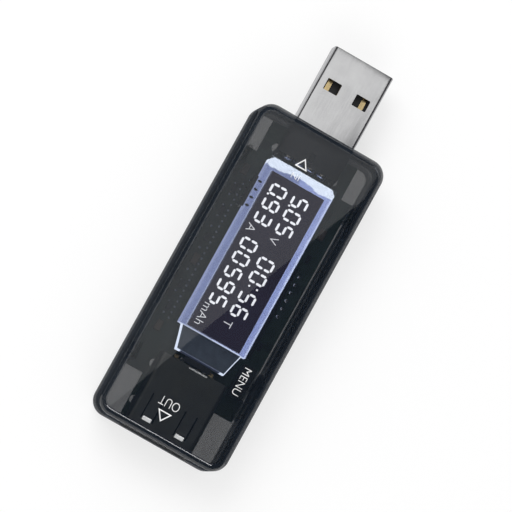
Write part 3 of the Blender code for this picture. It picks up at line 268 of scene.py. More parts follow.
def flat_sheets(name: str, outlines: Iterable[Sequence[Pair]], low: float, high: float) -> Object:
    """Many flat outlines as one object of thin closed sheets.

    Args:
        name: the object's name.
        outlines: each sheet's outline as (x, y).
        low: their undersides' height.
        high: their tops' height.

    Returns:
        The object.
    """
    bm = bmesh.new()
    for outline in outlines:
        loft(bm, [[(x, y, low) for x, y in outline], [(x, y, high) for x, y in outline]])
    return object_from(name, bm)


def wear(obj: Object, body: str, finish: "Finish") -> Object:
    """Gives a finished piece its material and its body.

    Args:
        obj: the piece.
        body: the body that it rides on.
        finish: the finish that it wears.

    Returns:
        The piece.
    """
    obj.data.materials.clear()
    obj.data.materials.append(finish.material())
    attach(obj, body)
    LOG.info("%s: %d faces, %s", obj.name, len(obj.data.polygons), finish.name)
    return obj


def dress(nodes: Nodes, names: Iterable[str], finish: "Finish") -> None:
    """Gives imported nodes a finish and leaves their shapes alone.

    Args:
        nodes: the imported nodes.
        names: those to dress.
        finish: the finish.
    """
    for name in names:
        for place in nodes[name].material_slots:
            place.material = finish.material()
        LOG.info("%s: %s", name, finish.name)


# ---- Finishes ---------------------------------------------------------------------------------------
def scaled(colour: Colour, factor: float) -> Colour:
    """A colour made darker or lighter, with no channel over 1."""
    return tuple(min(1.0, c * factor) for c in colour)


class NodeBench:
    """A new material's node tree, with short ways to add nodes to it."""

    def __init__(self, name: str) -> None:
        """Starts a material with a Principled shader and its output."""
        self.material = bpy.data.materials.new(name)
        self.material.use_nodes = True
        self.tree = self.material.node_tree
        self.tree.nodes.clear()
        self.output = self.tree.nodes.new("ShaderNodeOutputMaterial")
        self.shader = self.tree.nodes.new("ShaderNodeBsdfPrincipled")
        self.tree.links.new(self.shader.outputs[0], self.output.inputs["Surface"])
        self.where = self.tree.nodes.new("ShaderNodeTexCoord").outputs["Object"]

    def join(self, source: Socket, target: Socket) -> None:
        """Links an output to an input."""
        self.tree.links.new(source, target)

    def set(self, **values: object) -> None:
        """Sets inputs of the shader: words joined by underscores stand for the socket's name."""
        for key, value in values.items():
            socket = self.shader.inputs[key.replace("_", " ")]
            if isinstance(value, Socket):
                self.join(value, socket)
            else:
                socket.default_value = (*value, 1.0) if isinstance(value, tuple) else value

    def noise(self, scale: float, detail: float = 3.0, stretch: Point = (1.0, 1.0, 1.0)) -> Socket:
        """Noise on Object coordinates, from 0 to 1.

        Args:
            scale: spots in a metre.
            detail: finer layers.
            stretch: factors on the three axes.

        Returns:
            The noise's value.
        """
        mapping = self.tree.nodes.new("ShaderNodeMapping")
        mapping.inputs["Scale"].default_value = stretch
        self.join(self.where, mapping.inputs["Vector"])
        noise = self.tree.nodes.new("ShaderNodeTexNoise")
        noise.inputs["Scale"].default_value = scale
        noise.inputs["Detail"].default_value = detail
        self.join(mapping.outputs[0], noise.inputs["Vector"])
        return noise.outputs[0]

    def spread(self, value: Socket, low: float, high: float) -> Socket:
        """Turns a value from 0.3 to 0.7 into one from low to high."""
        node = self.tree.nodes.new("ShaderNodeMapRange")
        for name, limit in (("From Min", 0.3), ("From Max", 0.7), ("To Min", low), ("To Max", high)):
            node.inputs[name].default_value = limit
        self.join(value, node.inputs["Value"])
        return node.outputs[0]

    def between(self, value: Socket, first: Colour, second: Colour) -> Socket:
        """A colour between two, where the value goes from 0.3 to 0.7."""
        ramp = self.tree.nodes.new("ShaderNodeValToRGB")
        for stop, position, colour in zip(ramp.color_ramp.elements, (0.3, 0.7), (first, second)):
            stop.position, stop.color = position, (*colour, 1.0)
        self.join(value, ramp.inputs[0])
        return ramp.outputs[0]

    def bump(self, value: Socket, height: float, strength: float = 1.0) -> Socket:
        """A normal from a height pattern.

        Args:
            value: the pattern, from 0 to 1.
            height: what 1 stands for, in metres.
            strength: how much of it shows.

        Returns:
            The normal.
        """
        node = self.tree.nodes.new("ShaderNodeBump")
        node.inputs["Distance"].default_value = height
        node.inputs["Strength"].default_value = strength
        self.join(value, node.inputs["Height"])
        return node.outputs[0]

    def maths(self, operation: str, *values: object) -> Socket:
        """A Math node's result on sockets or numbers."""
        node = self.tree.nodes.new("ShaderNodeMath")
        node.operation = operation
        for socket, value in zip(node.inputs, values):
            if isinstance(value, Socket):
                self.join(value, socket)
            else:
                socket.default_value = value
        return node.outputs[0]

    def plus(self, first: object, second: object) -> Socket:
        """The sum of two sockets or numbers."""
        return self.maths("ADD", first, second)

    def less(self, first: object, second: object) -> Socket:
        """The first less the second."""
        return self.maths("SUBTRACT", first, second)

    def times(self, first: object, second: object) -> Socket:
        """The product of two sockets or numbers."""
        return self.maths("MULTIPLY", first, second)

    def most(self, first: object, second: object) -> Socket:
        """The larger of two sockets or numbers."""
        return self.maths("MAXIMUM", first, second)

    def rise(self, value: Socket, low: float, high: float) -> Socket:
        """0 up to low and 1 from high on, with a soft rise between."""
        ramp = self.tree.nodes.new("ShaderNodeMapRange")
        ramp.interpolation_type = "SMOOTHSTEP"
        ramp.inputs["From Min"].default_value = low
        ramp.inputs["From Max"].default_value = high
        self.join(value, ramp.inputs["Value"])
        return ramp.outputs[0]

    def mixed(self, factor: object, first: object, second: object, blend: str = "MIX") -> Socket:
        """A Mix node's result on two colours.

        Args:
            factor: a socket or a number.
            first: a socket or a colour.
            second: a socket or a colour.
            blend: how the second is laid over the first.

        Returns:
            The colour.
        """
        mix = self.tree.nodes.new("ShaderNodeMix")
        mix.data_type = "RGBA"
        mix.blend_type = blend
        targets = [mix.inputs["Factor"], *(s for s in mix.inputs if s.type == "RGBA")]
        for target, value in zip(targets, (factor, first, second)):
            if isinstance(value, Socket):
                self.join(value, target)
            else:
                target.default_value = (*value, 1.0) if isinstance(value, tuple) else value
        return next(s for s in mix.outputs if s.type == "RGBA")

    def part_of(self, axis: Axis) -> Socket:
        """One Object coordinate, in metres."""
        split = self.tree.nodes.new("ShaderNodeSeparateXYZ")
        self.join(self.where, split.inputs[0])
        return split.outputs[axis.value]

    def facing(self, blend: float) -> Socket:
        """Layer Weight's Facing: 0 seen squarely, 1 at a grazing angle."""
        node = self.tree.nodes.new("ShaderNodeLayerWeight")
        node.inputs["Blend"].default_value = blend
        return node.outputs["Facing"]


@dataclass(frozen=True)
class Finish:
    """A surface's finish. material() makes its material once and then gives the same one."""

    name: str

    def paint(self, bench: NodeBench) -> None:
        """Sets up the shader; each kind of finish has its own."""
        raise NotImplementedError

    def material(self) -> bpy.types.Material:
        """The finish's material."""
        known = bpy.data.materials.get("finish_" + self.name)
        if known is not None:
            return known
        bench = NodeBench("finish_" + self.name)
        self.paint(bench)
        return bench.material


@dataclass(frozen=True)
class SmokedPlastic(Finish):
    """Clear plastic tinted nearly black: each surface holds back part of the light, more at a grazing angle.

    Over the side walls the light has the case's whole height of plastic to cross, so faces that look up
    or down are nearly opaque there.
    """

    tint: Colour = (0.007, 0.011, 0.017)
    hold: float = 0.41
    edge_hold: float = 0.80
    wall_hold: float = 0.90
    gloss: float = 0.008
    middle_x: float = -0.0075
    half_length: float = 0.03135
    half_width: float = 0.01285
    corner: float = 0.0030
    wall: float = 0.0012

    def over_walls(self, bench: NodeBench) -> Socket:
        """1 on the faces over the side walls that look up or down, 0 elsewhere."""
        beyond = []
        spans = ((Axis.X, self.middle_x, self.half_length), (Axis.Y, 0.0, self.half_width))
        for axis, middle, half in spans:
            away = bench.maths("ABSOLUTE", bench.less(bench.part_of(axis), middle))
            beyond.append(bench.most(bench.less(away, half - self.corner), 0.0))
        reach = bench.maths("SQRT", bench.plus(*(bench.times(b, b) for b in beyond)))
        ramp = bench.rise(reach, self.corner - self.wall * 1.30, self.corner - self.wall * 0.85)
        normal = bench.tree.nodes.new("ShaderNodeSeparateXYZ")
        bench.join(bench.tree.nodes.new("ShaderNodeNewGeometry").outputs["Normal"], normal.inputs[0])
        upright = bench.maths("POWER", bench.maths("ABSOLUTE", normal.outputs[2]), 0.5)
        return bench.times(ramp, upright)

    def paint(self, bench: NodeBench) -> None:
        """Thin cover for the tint, with faint flow marks in it and in the gloss."""
        flow = bench.noise(140.0, 4.0, (1.0, 2.2, 2.2))
        grazing = bench.times(bench.maths("POWER", bench.facing(0.5), 2.0), self.edge_hold - self.hold)
        cover = bench.plus(bench.spread(flow, self.hold * 0.96, self.hold * 1.04), grazing)
        cover = bench.most(cover, bench.times(self.over_walls(bench), self.wall_hold))
        bench.set(
            Base_Color=bench.between(flow, self.tint, scaled(self.tint, 1.35)),
            Alpha=cover,
            Roughness=bench.spread(bench.noise(900.0, 5.0), self.gloss * 0.8, self.gloss * 1.3),
            IOR=1.6,
            Specular_IOR_Level=0.60,
            Normal=bench.bump(bench.noise(160.0, 2.0), 4e-6, 0.02),
        )


@dataclass(frozen=True)
class ClearGlass(Finish):
    """Plain glass, which only shows at its edges and by its gloss."""

    tint: Colour = (0.55, 0.62, 0.62)
    hold: float = 0.06
    edge_hold: float = 0.55

    def paint(self, bench: NodeBench) -> None:
        """Little cover seen squarely and more along the edges."""
        film = bench.noise(300.0)
        bench.set(
            Base_Color=bench.between(film, self.tint, scaled(self.tint, 0.9)),
            Alpha=bench.plus(self.hold, bench.times(bench.facing(0.4), self.edge_hold - self.hold)),
            Roughness=bench.spread(film, 0.03, 0.06),
            IOR=1.5,
        )


@dataclass(frozen=True)
class Moulded(Finish):
    """Opaque moulded plastic or resin with a fine grain."""

    colour: Colour = (0.02, 0.02, 0.022)
    rough: float = 0.45
    grain: float = 9000.0
    depth: float = 6e-6

    def paint(self, bench: NodeBench) -> None:
        """A mottled colour and a fine grain."""
        mottle = bench.noise(700.0, 4.0)
        fine = bench.noise(self.grain, 2.0)
        bench.set(
            Base_Color=bench.between(mottle, scaled(self.colour, 0.86), scaled(self.colour, 1.12)),
            Roughness=bench.spread(mottle, self.rough * 0.88, min(1.0, self.rough * 1.15)),
            Normal=bench.bump(fine, self.depth, 0.4),
        )


@dataclass(frozen=True)
class Plated(Finish):
    """Plated sheet metal with the rolling's fine lines along X, and small stains; glint adds a painted highlight
    as emission.
    """

    colour: Colour = (0.52, 0.52, 0.51)
    rough: float = 0.20
    lines: float = 5200.0
    depth: float = 0.30
    glint: float = 0.0

    def paint(self, bench: NodeBench) -> None:
        """Fine lines in the gloss and faint stains in the colour; glint is a painted highlight, an emission that
        stands in for what a lamp close by would add.
        """
        rolled = bench.noise(self.lines, 3.0, (0.04, 1.0, 1.0))
        stain = bench.noise(420.0, 5.0)
        bench.set(
            Metallic=1.0,
            Base_Color=bench.between(stain, scaled(self.colour, 0.95), scaled(self.colour, 1.03)),
            Roughness=bench.spread(rolled, self.rough * 0.8, self.rough * 1.3),
            Normal=bench.bump(rolled, 2e-6, self.depth),
            # Painted highlight: the glint is emission that the metal gives of its own.
            Emission_Color=bench.between(stain, (0.80, 0.82, 0.82), (1.0, 1.0, 1.0)),
            Emission_Strength=self.glint,
        )


@dataclass(frozen=True)
class SleevePlatedPaintedShade(Plated):
    """The plug's plating with painted shade: its colour is darker from inside_x inwards, where the smoked case's
    end leaves it in the dark.
    """

    inside_x: float = 0.0238
    shade: float = 0.13

    def paint(self, bench: NodeBench) -> None:
        """Plated metal, with painted shade that makes it darker inwards of inside_x."""
        super().paint(bench)
        outside = bench.maths("GREATER_THAN", bench.part_of(Axis.X), self.inside_x)
        dark = (self.shade, self.shade, self.shade * 1.05)
        colour = bench.shader.inputs["Base Color"]
        # Painted shade: the colour is multiplied by the dark value inwards of inside_x.
        shade = bench.mixed(outside, dark, (1.0, 1.0, 1.0))
        bench.join(bench.mixed(1.0, colour.links[0].from_socket, shade, "MULTIPLY"), colour)


@dataclass(frozen=True)
class Laminate(Finish):
    """The board: dark solder mask over copper tracks, which show as slightly raised, lighter lines."""

    mask: Colour = (0.010, 0.020, 0.014)
    track: Colour = (0.026, 0.050, 0.034)
    pitch: float = 420.0

    def paint(self, bench: NodeBench) -> None:
        """Tracks as the cells' borders of a square-ish pattern, and copper pour between them."""
        cells = bench.tree.nodes.new("ShaderNodeTexVoronoi")
        cells.distance = "CHEBYCHEV"
        cells.inputs["Scale"].default_value = self.pitch
        cells.inputs["Randomness"].default_value = 0.75
        bench.join(bench.where, cells.inputs["Vector"])
        raised = bench.maths("GREATER_THAN", cells.outputs["Distance"], 0.34)
        pour = bench.times(bench.spread(bench.noise(160.0, 1.0), 0.0, 1.0), 0.5)
        amount = bench.plus(bench.times(raised, 0.4), bench.plus(pour, 0.25))
        bench.set(
            Base_Color=bench.between(amount, self.mask, self.track),
            Roughness=bench.spread(bench.noise(2500.0), 0.25, 0.40),
            Normal=bench.bump(raised, 2e-5, 0.5),
        )


@dataclass(frozen=True)
class Lit(Finish):
    """A surface that gives light, with a faint unevenness."""

    colour: Colour = (0.88, 0.93, 1.0)
    strength: float = 1.9
    unevenness: float = 0.08

    def paint(self, bench: NodeBench) -> None:
        """An emission that varies by the unevenness."""
        soft = bench.noise(500.0, 2.0)
        bench.set(
            Base_Color=scaled(self.colour, 0.5),
            Roughness=0.5,
            Emission_Color=bench.between(soft, scaled(self.colour, 1 - self.unevenness), self.colour),
            Emission_Strength=self.strength,
        )


@dataclass(frozen=True)
class GuideGlow(Finish):
    """The light guide: bright across its end by the plug, up to an arched border, and blue-grey elsewhere.

    Paler lines run along its outer edges, round the dark cell and down the slanted sides of its neck. The
    side by the button is brighter than the far side.
    """

    bright_from: float = 0.01405
    ridge_from: float = 0.00645
    lip_to: float = 0.00548
    lip_end: float = 0.01345
    neck_from: float = -0.01820
    foot_from: float = -0.02245
    foot_half_width: float = 0.0040
    side: Colour = (0.46, 0.56, 1.08)
    bright: Colour = (2.12, 2.36, 2.80)
    ridge: float = 0.30
    lip: float = 0.26
    neck: float = 0.85
    far_share: float = 0.35
    button_side_gain: float = 0.55
    foot_loss: float = 0.9
    waver: float = 0.0012
    ridge_waver: float = 0.3
    arch: float = 0.00065
    arch_half_width: float = 0.0030
    blur: float = 0.00012

    def above(self, bench: NodeBench, value: Socket, start: float) -> Socket:
        """0 below start and 1 above it, with a soft border."""
        return bench.rise(value, start - self.blur, start + self.blur)

    def below(self, bench: NodeBench, value: Socket, start: float) -> Socket:
        """1 below start and 0 above it, with a soft border."""
        return bench.less(1.0, self.above(bench, value, start))

    def end_band(self, bench: NodeBench, soft: Socket) -> Socket:
        """1 on the bright end, whose border wavers and arches towards the plug in its middle."""
        away = bench.maths("ABSOLUTE", bench.part_of(Axis.Y))
        middle = bench.most(bench.less(1.0, bench.maths("DIVIDE", away, self.arch_half_width)), 0.0)
        border = bench.plus(soft, bench.times(bench.maths("SQRT", middle), -self.arch))
        return self.above(bench, bench.plus(bench.part_of(Axis.X), border), self.bright_from)

    def paint(self, bench: NodeBench) -> None:
        """Bands along X and Y with wavering borders."""
        x, y = bench.part_of(Axis.X), bench.part_of(Axis.Y)
        away = bench.maths("ABSOLUTE", y)
        soft = bench.times(bench.less(bench.noise(420.0, 2.0), 0.5), self.waver)
        end = self.end_band(bench, soft)
        line = self.above(bench, bench.plus(away, bench.times(soft, self.ridge_waver)), self.ridge_from)
        around = bench.times(self.below(bench, away, self.lip_to), self.below(bench, x, self.lip_end))
        neck = self.below(bench, x, self.neck_from)
        foot = bench.times(
            self.below(bench, x, self.foot_from), self.below(bench, away, self.foot_half_width)
        )
        button_side = self.above(bench, bench.less(0.0, y), 0.0)
        share = bench.plus(self.far_share, bench.times(button_side, 1.0 - self.far_share))
        amount = bench.most(end, bench.times(bench.times(line, share), self.ridge))
        amount = bench.most(amount, bench.times(around, self.lip))
        amount = bench.most(amount, bench.times(neck, self.neck))
        amount = bench.times(amount, bench.less(1.0, foot))
        sides_only = bench.less(1.0, bench.most(end, neck))
        more = bench.times(bench.times(button_side, sides_only), self.button_side_gain)
        kept = bench.less(1.0, bench.times(foot, self.foot_loss))
        bench.set(
            Base_Color=(0.08, 0.09, 0.11),
            Roughness=0.30,
            Emission_Color=bench.mixed(amount, self.side, self.bright),
            Emission_Strength=bench.times(kept, bench.plus(1.0, more)),
        )


@dataclass(frozen=True)
class DarkCell(Finish):
    """The display's polariser: nearly black and glossy, with a little of the backlight coming through."""

    colour: Colour = (0.012, 0.011, 0.016)
    leak: Colour = (0.036, 0.027, 0.058)

    def paint(self, bench: NodeBench) -> None:
        """A faint violet glow in soft clouds."""
        cloud = bench.noise(110.0, 1.0)
        bench.set(
            Base_Color=self.colour,
            Roughness=bench.spread(bench.noise(1200.0), 0.16, 0.22),
            Emission_Color=bench.between(cloud, scaled(self.leak, 0.75), self.leak),
            Emission_Strength=1.0,
        )


SMOKED = SmokedPlastic("smoked_case")
GLASS = ClearGlass("display_glass")
BUTTON_BLACK = Moulded("button_black", (0.014, 0.014, 0.016), 0.32)
BLACK_MOULDING = Moulded("black_moulding", (0.016, 0.016, 0.017), 0.42)
CHIP_RESIN = Moulded("chip_resin", (0.020, 0.020, 0.021), 0.60, 14000.0, 9e-6)
FOAM = Moulded("foam", (0.030, 0.030, 0.032), 0.95, 5000.0, 6e-5)
CERAMIC = Moulded("ceramic", (0.10, 0.075, 0.05), 0.50)
TANTALUM = Moulded("tantalum", (0.46, 0.27, 0.03), 0.45)
LAMP_HOUSING = Moulded("lamp_housing", (0.05, 0.05, 0.055), 0.50)
REFLECTOR = Moulded("reflector_film", (0.80, 0.81, 0.83), 0.55)
# The plug's steel, with painted shade on its part inside the case.
STEEL = SleevePlatedPaintedShade("plug_steel_painted_shade", (0.60, 0.60, 0.605), 0.15, 4200.0, 0.06)
# Painted highlights: the spring bends and the rear lip give light of their own as a glint.
SPRING_STEEL_PAINTED_GLINT = Plated("spring_steel_painted_glint", (0.92, 0.92, 0.93), 0.16, 4200.0, 0.03, 1.05)
LIP_STEEL_PAINTED_GLINT = Plated("lip_steel_painted_glint", (0.50, 0.51, 0.52), 0.30, 4200.0, 0.03, 0.30)
SOCKET_STEEL = Plated("socket_steel", (0.27, 0.272, 0.255), 0.36, 6000.0, 0.05)
TIN = Plated("tinned_lead", (0.46, 0.46, 0.47), 0.32, 9000.0)
# Painted shade: the display's pins and their resin bead are painted nearly black, for pins in shadow.
PIN_PAINTED_SHADE = Plated("pin_painted_shade", (0.06, 0.06, 0.065), 0.35, 9000.0)
SOLDER = Plated("solder", (0.86, 0.88, 0.92), 0.20, 2000.0)
# Painted light: a bluish, darker copy of the solder that stands in for the light on the joints by the plug.
SOLDER_PAINTED_LIGHT = Plated("solder_with_painted_light", (0.50, 0.54, 0.74), 0.24, 2000.0)
# A darker, rougher copy of the solder, for the rows of holes along the board's edge.
DARK_SOLDER = Plated("darker_solder", (0.36, 0.39, 0.44), 0.30, 2000.0)
# Dark ovals over the common pins' pads.
DARK_PAD_MARK = Moulded("dark_mark", (0.012, 0.013, 0.022), 0.50)
GOLD = Plated("gold_contact", (0.70, 0.54, 0.28), 0.22, 7000.0)
BOARD = Laminate("board_mask")
NECK = Moulded("neck_film", (0.22, 0.27, 0.37), 0.40)
GUIDE = GuideGlow("light_guide")
CELL = DarkCell("display_cell")
DIGIT = Lit("display_segment", (0.92, 0.94, 1.0), 2.5, 0.06)
SIGN = Lit("display_unit", (0.92, 0.94, 1.0), 1.7, 0.06)
PRINT = Moulded("white_print", (0.86, 0.86, 0.86), 0.55)


# ---- Case -------------------------------------------------------------------------------------------
@dataclass
class Case:
    """The two smoked halves: walls of one thickness, round corners and edges, openings at both ends."""

    plug_end: float = 0.02385
    socket_end: float = -0.03885
    half_width: float = 0.01285
    height: float = 0.0124
    print_height: float = 0.000012
    wall: float = 0.0012
    corner: float = 0.0030
    edge: float = 0.0015
    seam: float = 0.0062
    seam_gap: float = 0.00005
    seam_ease: float = 0.00012
    corner_steps: int = 14
    edge_steps: int = 10
    plug_opening: tuple[float, float, float, float, int] = (0.00615, 0.00240, 0.00629, 0.0007, 5)
    socket_opening: tuple[float, float, float, float, int] = (0.0067, 0.003025, 0.006915, 0.0003, 4)
    cutter_margin: float = 0.0008
    button_x: float = -0.02185
    button_half: Pair = (0.00222, 0.00122)
    hook_x: Pair = (0.01365, -0.02655)
    hook_length: float = 0.0034
    rib_x: Pair = (0.01465, -0.02755)
    rib_thickness: float = 0.0008
    lip_x: float = -0.00195
    lip_length: float = 0.030
    post_radius: float = 0.0010
    post_top: float = 0.00296
    board_tail_half_width: float = 0.0109

    @property
    def centre_x(self) -> float:
        """The case's middle along X."""
        return (self.plug_end + self.socket_end) / 2

    @property
    def inside(self) -> float:
        """Half the room between the side walls."""
        return self.half_width - self.wall

    def loop(self, inset: float, z: float) -> list[Point]:
        """The case's outline at one height, pulled in by inset."""
        half_length = (self.plug_end - self.socket_end) / 2
        radius = max(self.corner - inset, 0.0003)
        outline = rounded_outline(half_length - inset, self.half_width - inset, radius, self.corner_steps)
        return [(x + self.centre_x, y, z) for x, y in outline]

    def half(self, name: str, open_z: float, closed_z: float) -> Object:
        """One half as an open box with a wall.

        Args:
            name: the object's name.
            open_z: the height of its rim.
            closed_z: the height of its outer face.

        Returns:
            The half, without its fittings.
        """
        sign = 1.0 if closed_z > open_z else -1.0
        outer = [self.loop(self.seam_ease, open_z), self.loop(0.0, open_z + sign * self.seam_ease)]
        for i in range(self.edge_steps + 1):
            a = math.pi / 2 * i / self.edge_steps
            inset = self.edge * (1 - math.cos(a))
            outer.append(self.loop(inset, closed_z - sign * self.edge * (1 - math.sin(a))))
        inner_radius = self.edge - self.wall
        inner = [self.loop(self.wall, open_z)]
        for i in range(4):
            a = math.pi / 2 * i / 3
            inset = self.wall + inner_radius * (1 - math.cos(a))
            z = closed_z - sign * (self.wall + inner_radius * (1 - math.sin(a)))
            inner.append(self.loop(inset, z))
        bm = bmesh.new()
        loft(bm, list(reversed(outer)) + inner)
        return object_from(name, bm)

    def openings(self, label: str) -> list[Object]:
        """Cutters for the plug's, the socket's and the button's holes."""
        bx, bz = self.button_half
        holes = (
            ("plug_hole", *self.plug_opening, 0.0, self.plug_end, Axis.X),
            ("socket_hole", *self.socket_opening, 0.0, self.socket_end, Axis.X),
            ("button_hole", bx, bz, self.seam, bz * 0.98, 9, self.button_x, -self.half_width, Axis.Y),
        )
        reach = self.wall + self.cutter_margin
        cutters = []
        for name, half, half_z, z, radius, steps, along, face, axis in holes:
            outline = [(a + along, w + z) for a, w in rounded_outline(half, half_z, radius, steps)]
            cutters.append(prism(f"{name}_{label}", outline, face - reach, face + reach, axis))
        return cutters

    def fitting(self, name: str, section: Sequence[Pair], side: int, x: float, length: float) -> Object:
        """A fitting of one section that runs along X.

        Args:
            name: the object's name.
            section: its section on the +Y side, as (y, z).
            side: 1, or -1 to turn the section over to the -Y side.
            x: its middle.
            length: its length.

        Returns:
            The fitting.
        """
        points = [(side * y, z) for y, z in section]
        return prism(name, points, x - length / 2, x + length / 2, Axis.X)

    def top(self) -> Object:
        """The upper half with its hooks and ribs."""
        shell = self.half("case_top", self.seam + self.seam_gap / 2, self.height - self.print_height)
        root, middle = self.height - self.wall / 2, self.half_width - self.wall / 2
        outer, inner = self.inside - 0.00055, self.inside - 0.00115
        barb = outer + 0.0004
        hook = [(inner, root), (inner, 0.0037), (outer, 0.0037), (barb, 0.0043), (barb, 0.0045)]
        hook += [(outer, 0.0045), (outer, root)]
        near, far = self.inside - 0.0014, self.inside - 0.00015
        foot, shoulder = BOARD_TOP + 0.0001, self.seam + self.seam_gap
        rib = [(near, root), (near, foot), (far, foot), (far, shoulder), (middle, shoulder)]
        rib += [(middle, root - 0.0006), (self.inside, root)]
        fittings = []
        for side in (1, -1):
            for i in range(2):
                fittings.append(self.fitting(f"hook_{side}_{i}", hook, side, self.hook_x[i], self.hook_length))
                fittings.append(self.fitting(f"rib_{side}_{i}", rib, side, self.rib_x[i], self.rib_thickness))
        combine(shell, fittings, "UNION")
        return self.close(shell, "top")

    def bottom(self) -> Object:
        """The lower half with its catches, lips and posts."""
        shell = self.half("case_bottom", self.seam - self.seam_gap / 2, 0.0)
        middle = self.half_width - self.wall / 2
        reach = self.inside - 0.00045
        catch = [(middle, 0.0046), (reach, 0.0046), (reach, 0.0050)]
        catch += [(self.inside - 0.00005, 0.0054), (middle, 0.0054)]
        outer, inner = self.inside - 0.00015, self.inside - 0.00065
        low, high, shelf = self.seam - 0.0016, self.seam + 0.0008, self.seam - 0.00015
        lip = [(middle, low), (outer, low), (inner, self.seam - 0.0008), (inner, high), (outer, high)]
        lip += [(outer, shelf), (middle, shelf)]
        fittings = []
        for side in (1, -1):
            fittings.append(self.fitting(f"lip_{side}", lip, side, self.lip_x, self.lip_length))
            for i in range(2):
                fittings.append(self.fitting(f"catch_{side}_{i}", catch, side, self.hook_x[i], self.hook_length))
                y = side * (self.board_tail_half_width - 1.5 * self.post_radius)
                ring = rounded_outline(self.post_radius, self.post_radius, self.post_radius * 0.999, 5)
                post = [(x + self.rib_x[i], w + y) for x, w in ring]
                fittings.append(prism(f"post_{side}_{i}", post, self.wall / 2, self.post_top))
        combine(shell, fittings, "UNION")
        return self.close(shell, "bottom")

    def close(self, shell: Object, label: str) -> Object:
        """Cuts the openings, and shades the half by its larger faces so that the flats stay flat."""
        combine(shell, self.openings(label), "DIFFERENCE")
        smooth(shell, 32.0)
        weighted = shell.modifiers.new("weighted", "WEIGHTED_NORMAL")
        weighted.keep_sharp = True
        weighted.weight = 100
        return baked(shell)

    def build(self) -> None:
        """Makes both halves and puts them in the nodes' places."""
        for half, node in ((self.top(), "top_shell"), (self.bottom(), "bottom_shell")):
            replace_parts(wear(half, CASE_BODY, SMOKED), node)


# ---- Menu button ------------------------------------------------------------------------------------
@dataclass
class MenuButton:
    """The oblong button in the side wall, with a soft crown and the flange that keeps it in."""

    x: float = -0.02185
    z: float = 0.0062
    half_length: float = 0.0021
    half_height: float = 0.0011
    face_y: float = -0.0127
    flange_margin: float = 0.0008
    flange_from: float = -0.0115
    flange_to: float = -0.0109
    flange_ease: float = 0.00006
    crown: float = 0.00014
    rim: float = 0.00026
    rim_steps: int = 6
    steps: int = 12

    def ring(self, inset: float, y: float) -> list[Point]:
        """The oblong outline at one depth, pulled in by inset."""
        half_x, half_z = self.half_length - inset, self.half_height - inset
        outline = rounded_outline(half_x, half_z, half_z * 0.995, self.steps)
        return [(x + self.x, y, z + self.z) for x, z in outline]

    def build(self) -> None:
        """Makes the button and puts it in its node's place."""
        m, ease, top = -self.flange_margin, self.flange_ease, self.face_y + self.crown
        rings = [
            self.ring(m, self.flange_to),
            self.ring(m, self.flange_from + ease),
            self.ring(m + ease, self.flange_from),
            self.ring(0.0, self.flange_from),
            self.ring(0.0, self.face_y + 0.0004),
        ]
        for i in range(1, self.rim_steps + 1):
            a = math.pi / 2 * i / self.rim_steps
            rings.append(self.ring(self.rim * (1 - math.cos(a)), top + self.rim * (1 - math.sin(a))))
        rings.append(self.ring(0.00055, self.face_y + self.crown * 0.35))
        rings.append(self.ring(0.00085, self.face_y))
        bm = bmesh.new()
        loft(bm, rings)
        button = object_from("button_cap", bm)
        smooth(button, 35.0)
        wear(button, BUTTON_BODY, BUTTON_BLACK)
        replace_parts(button, "menu_button")


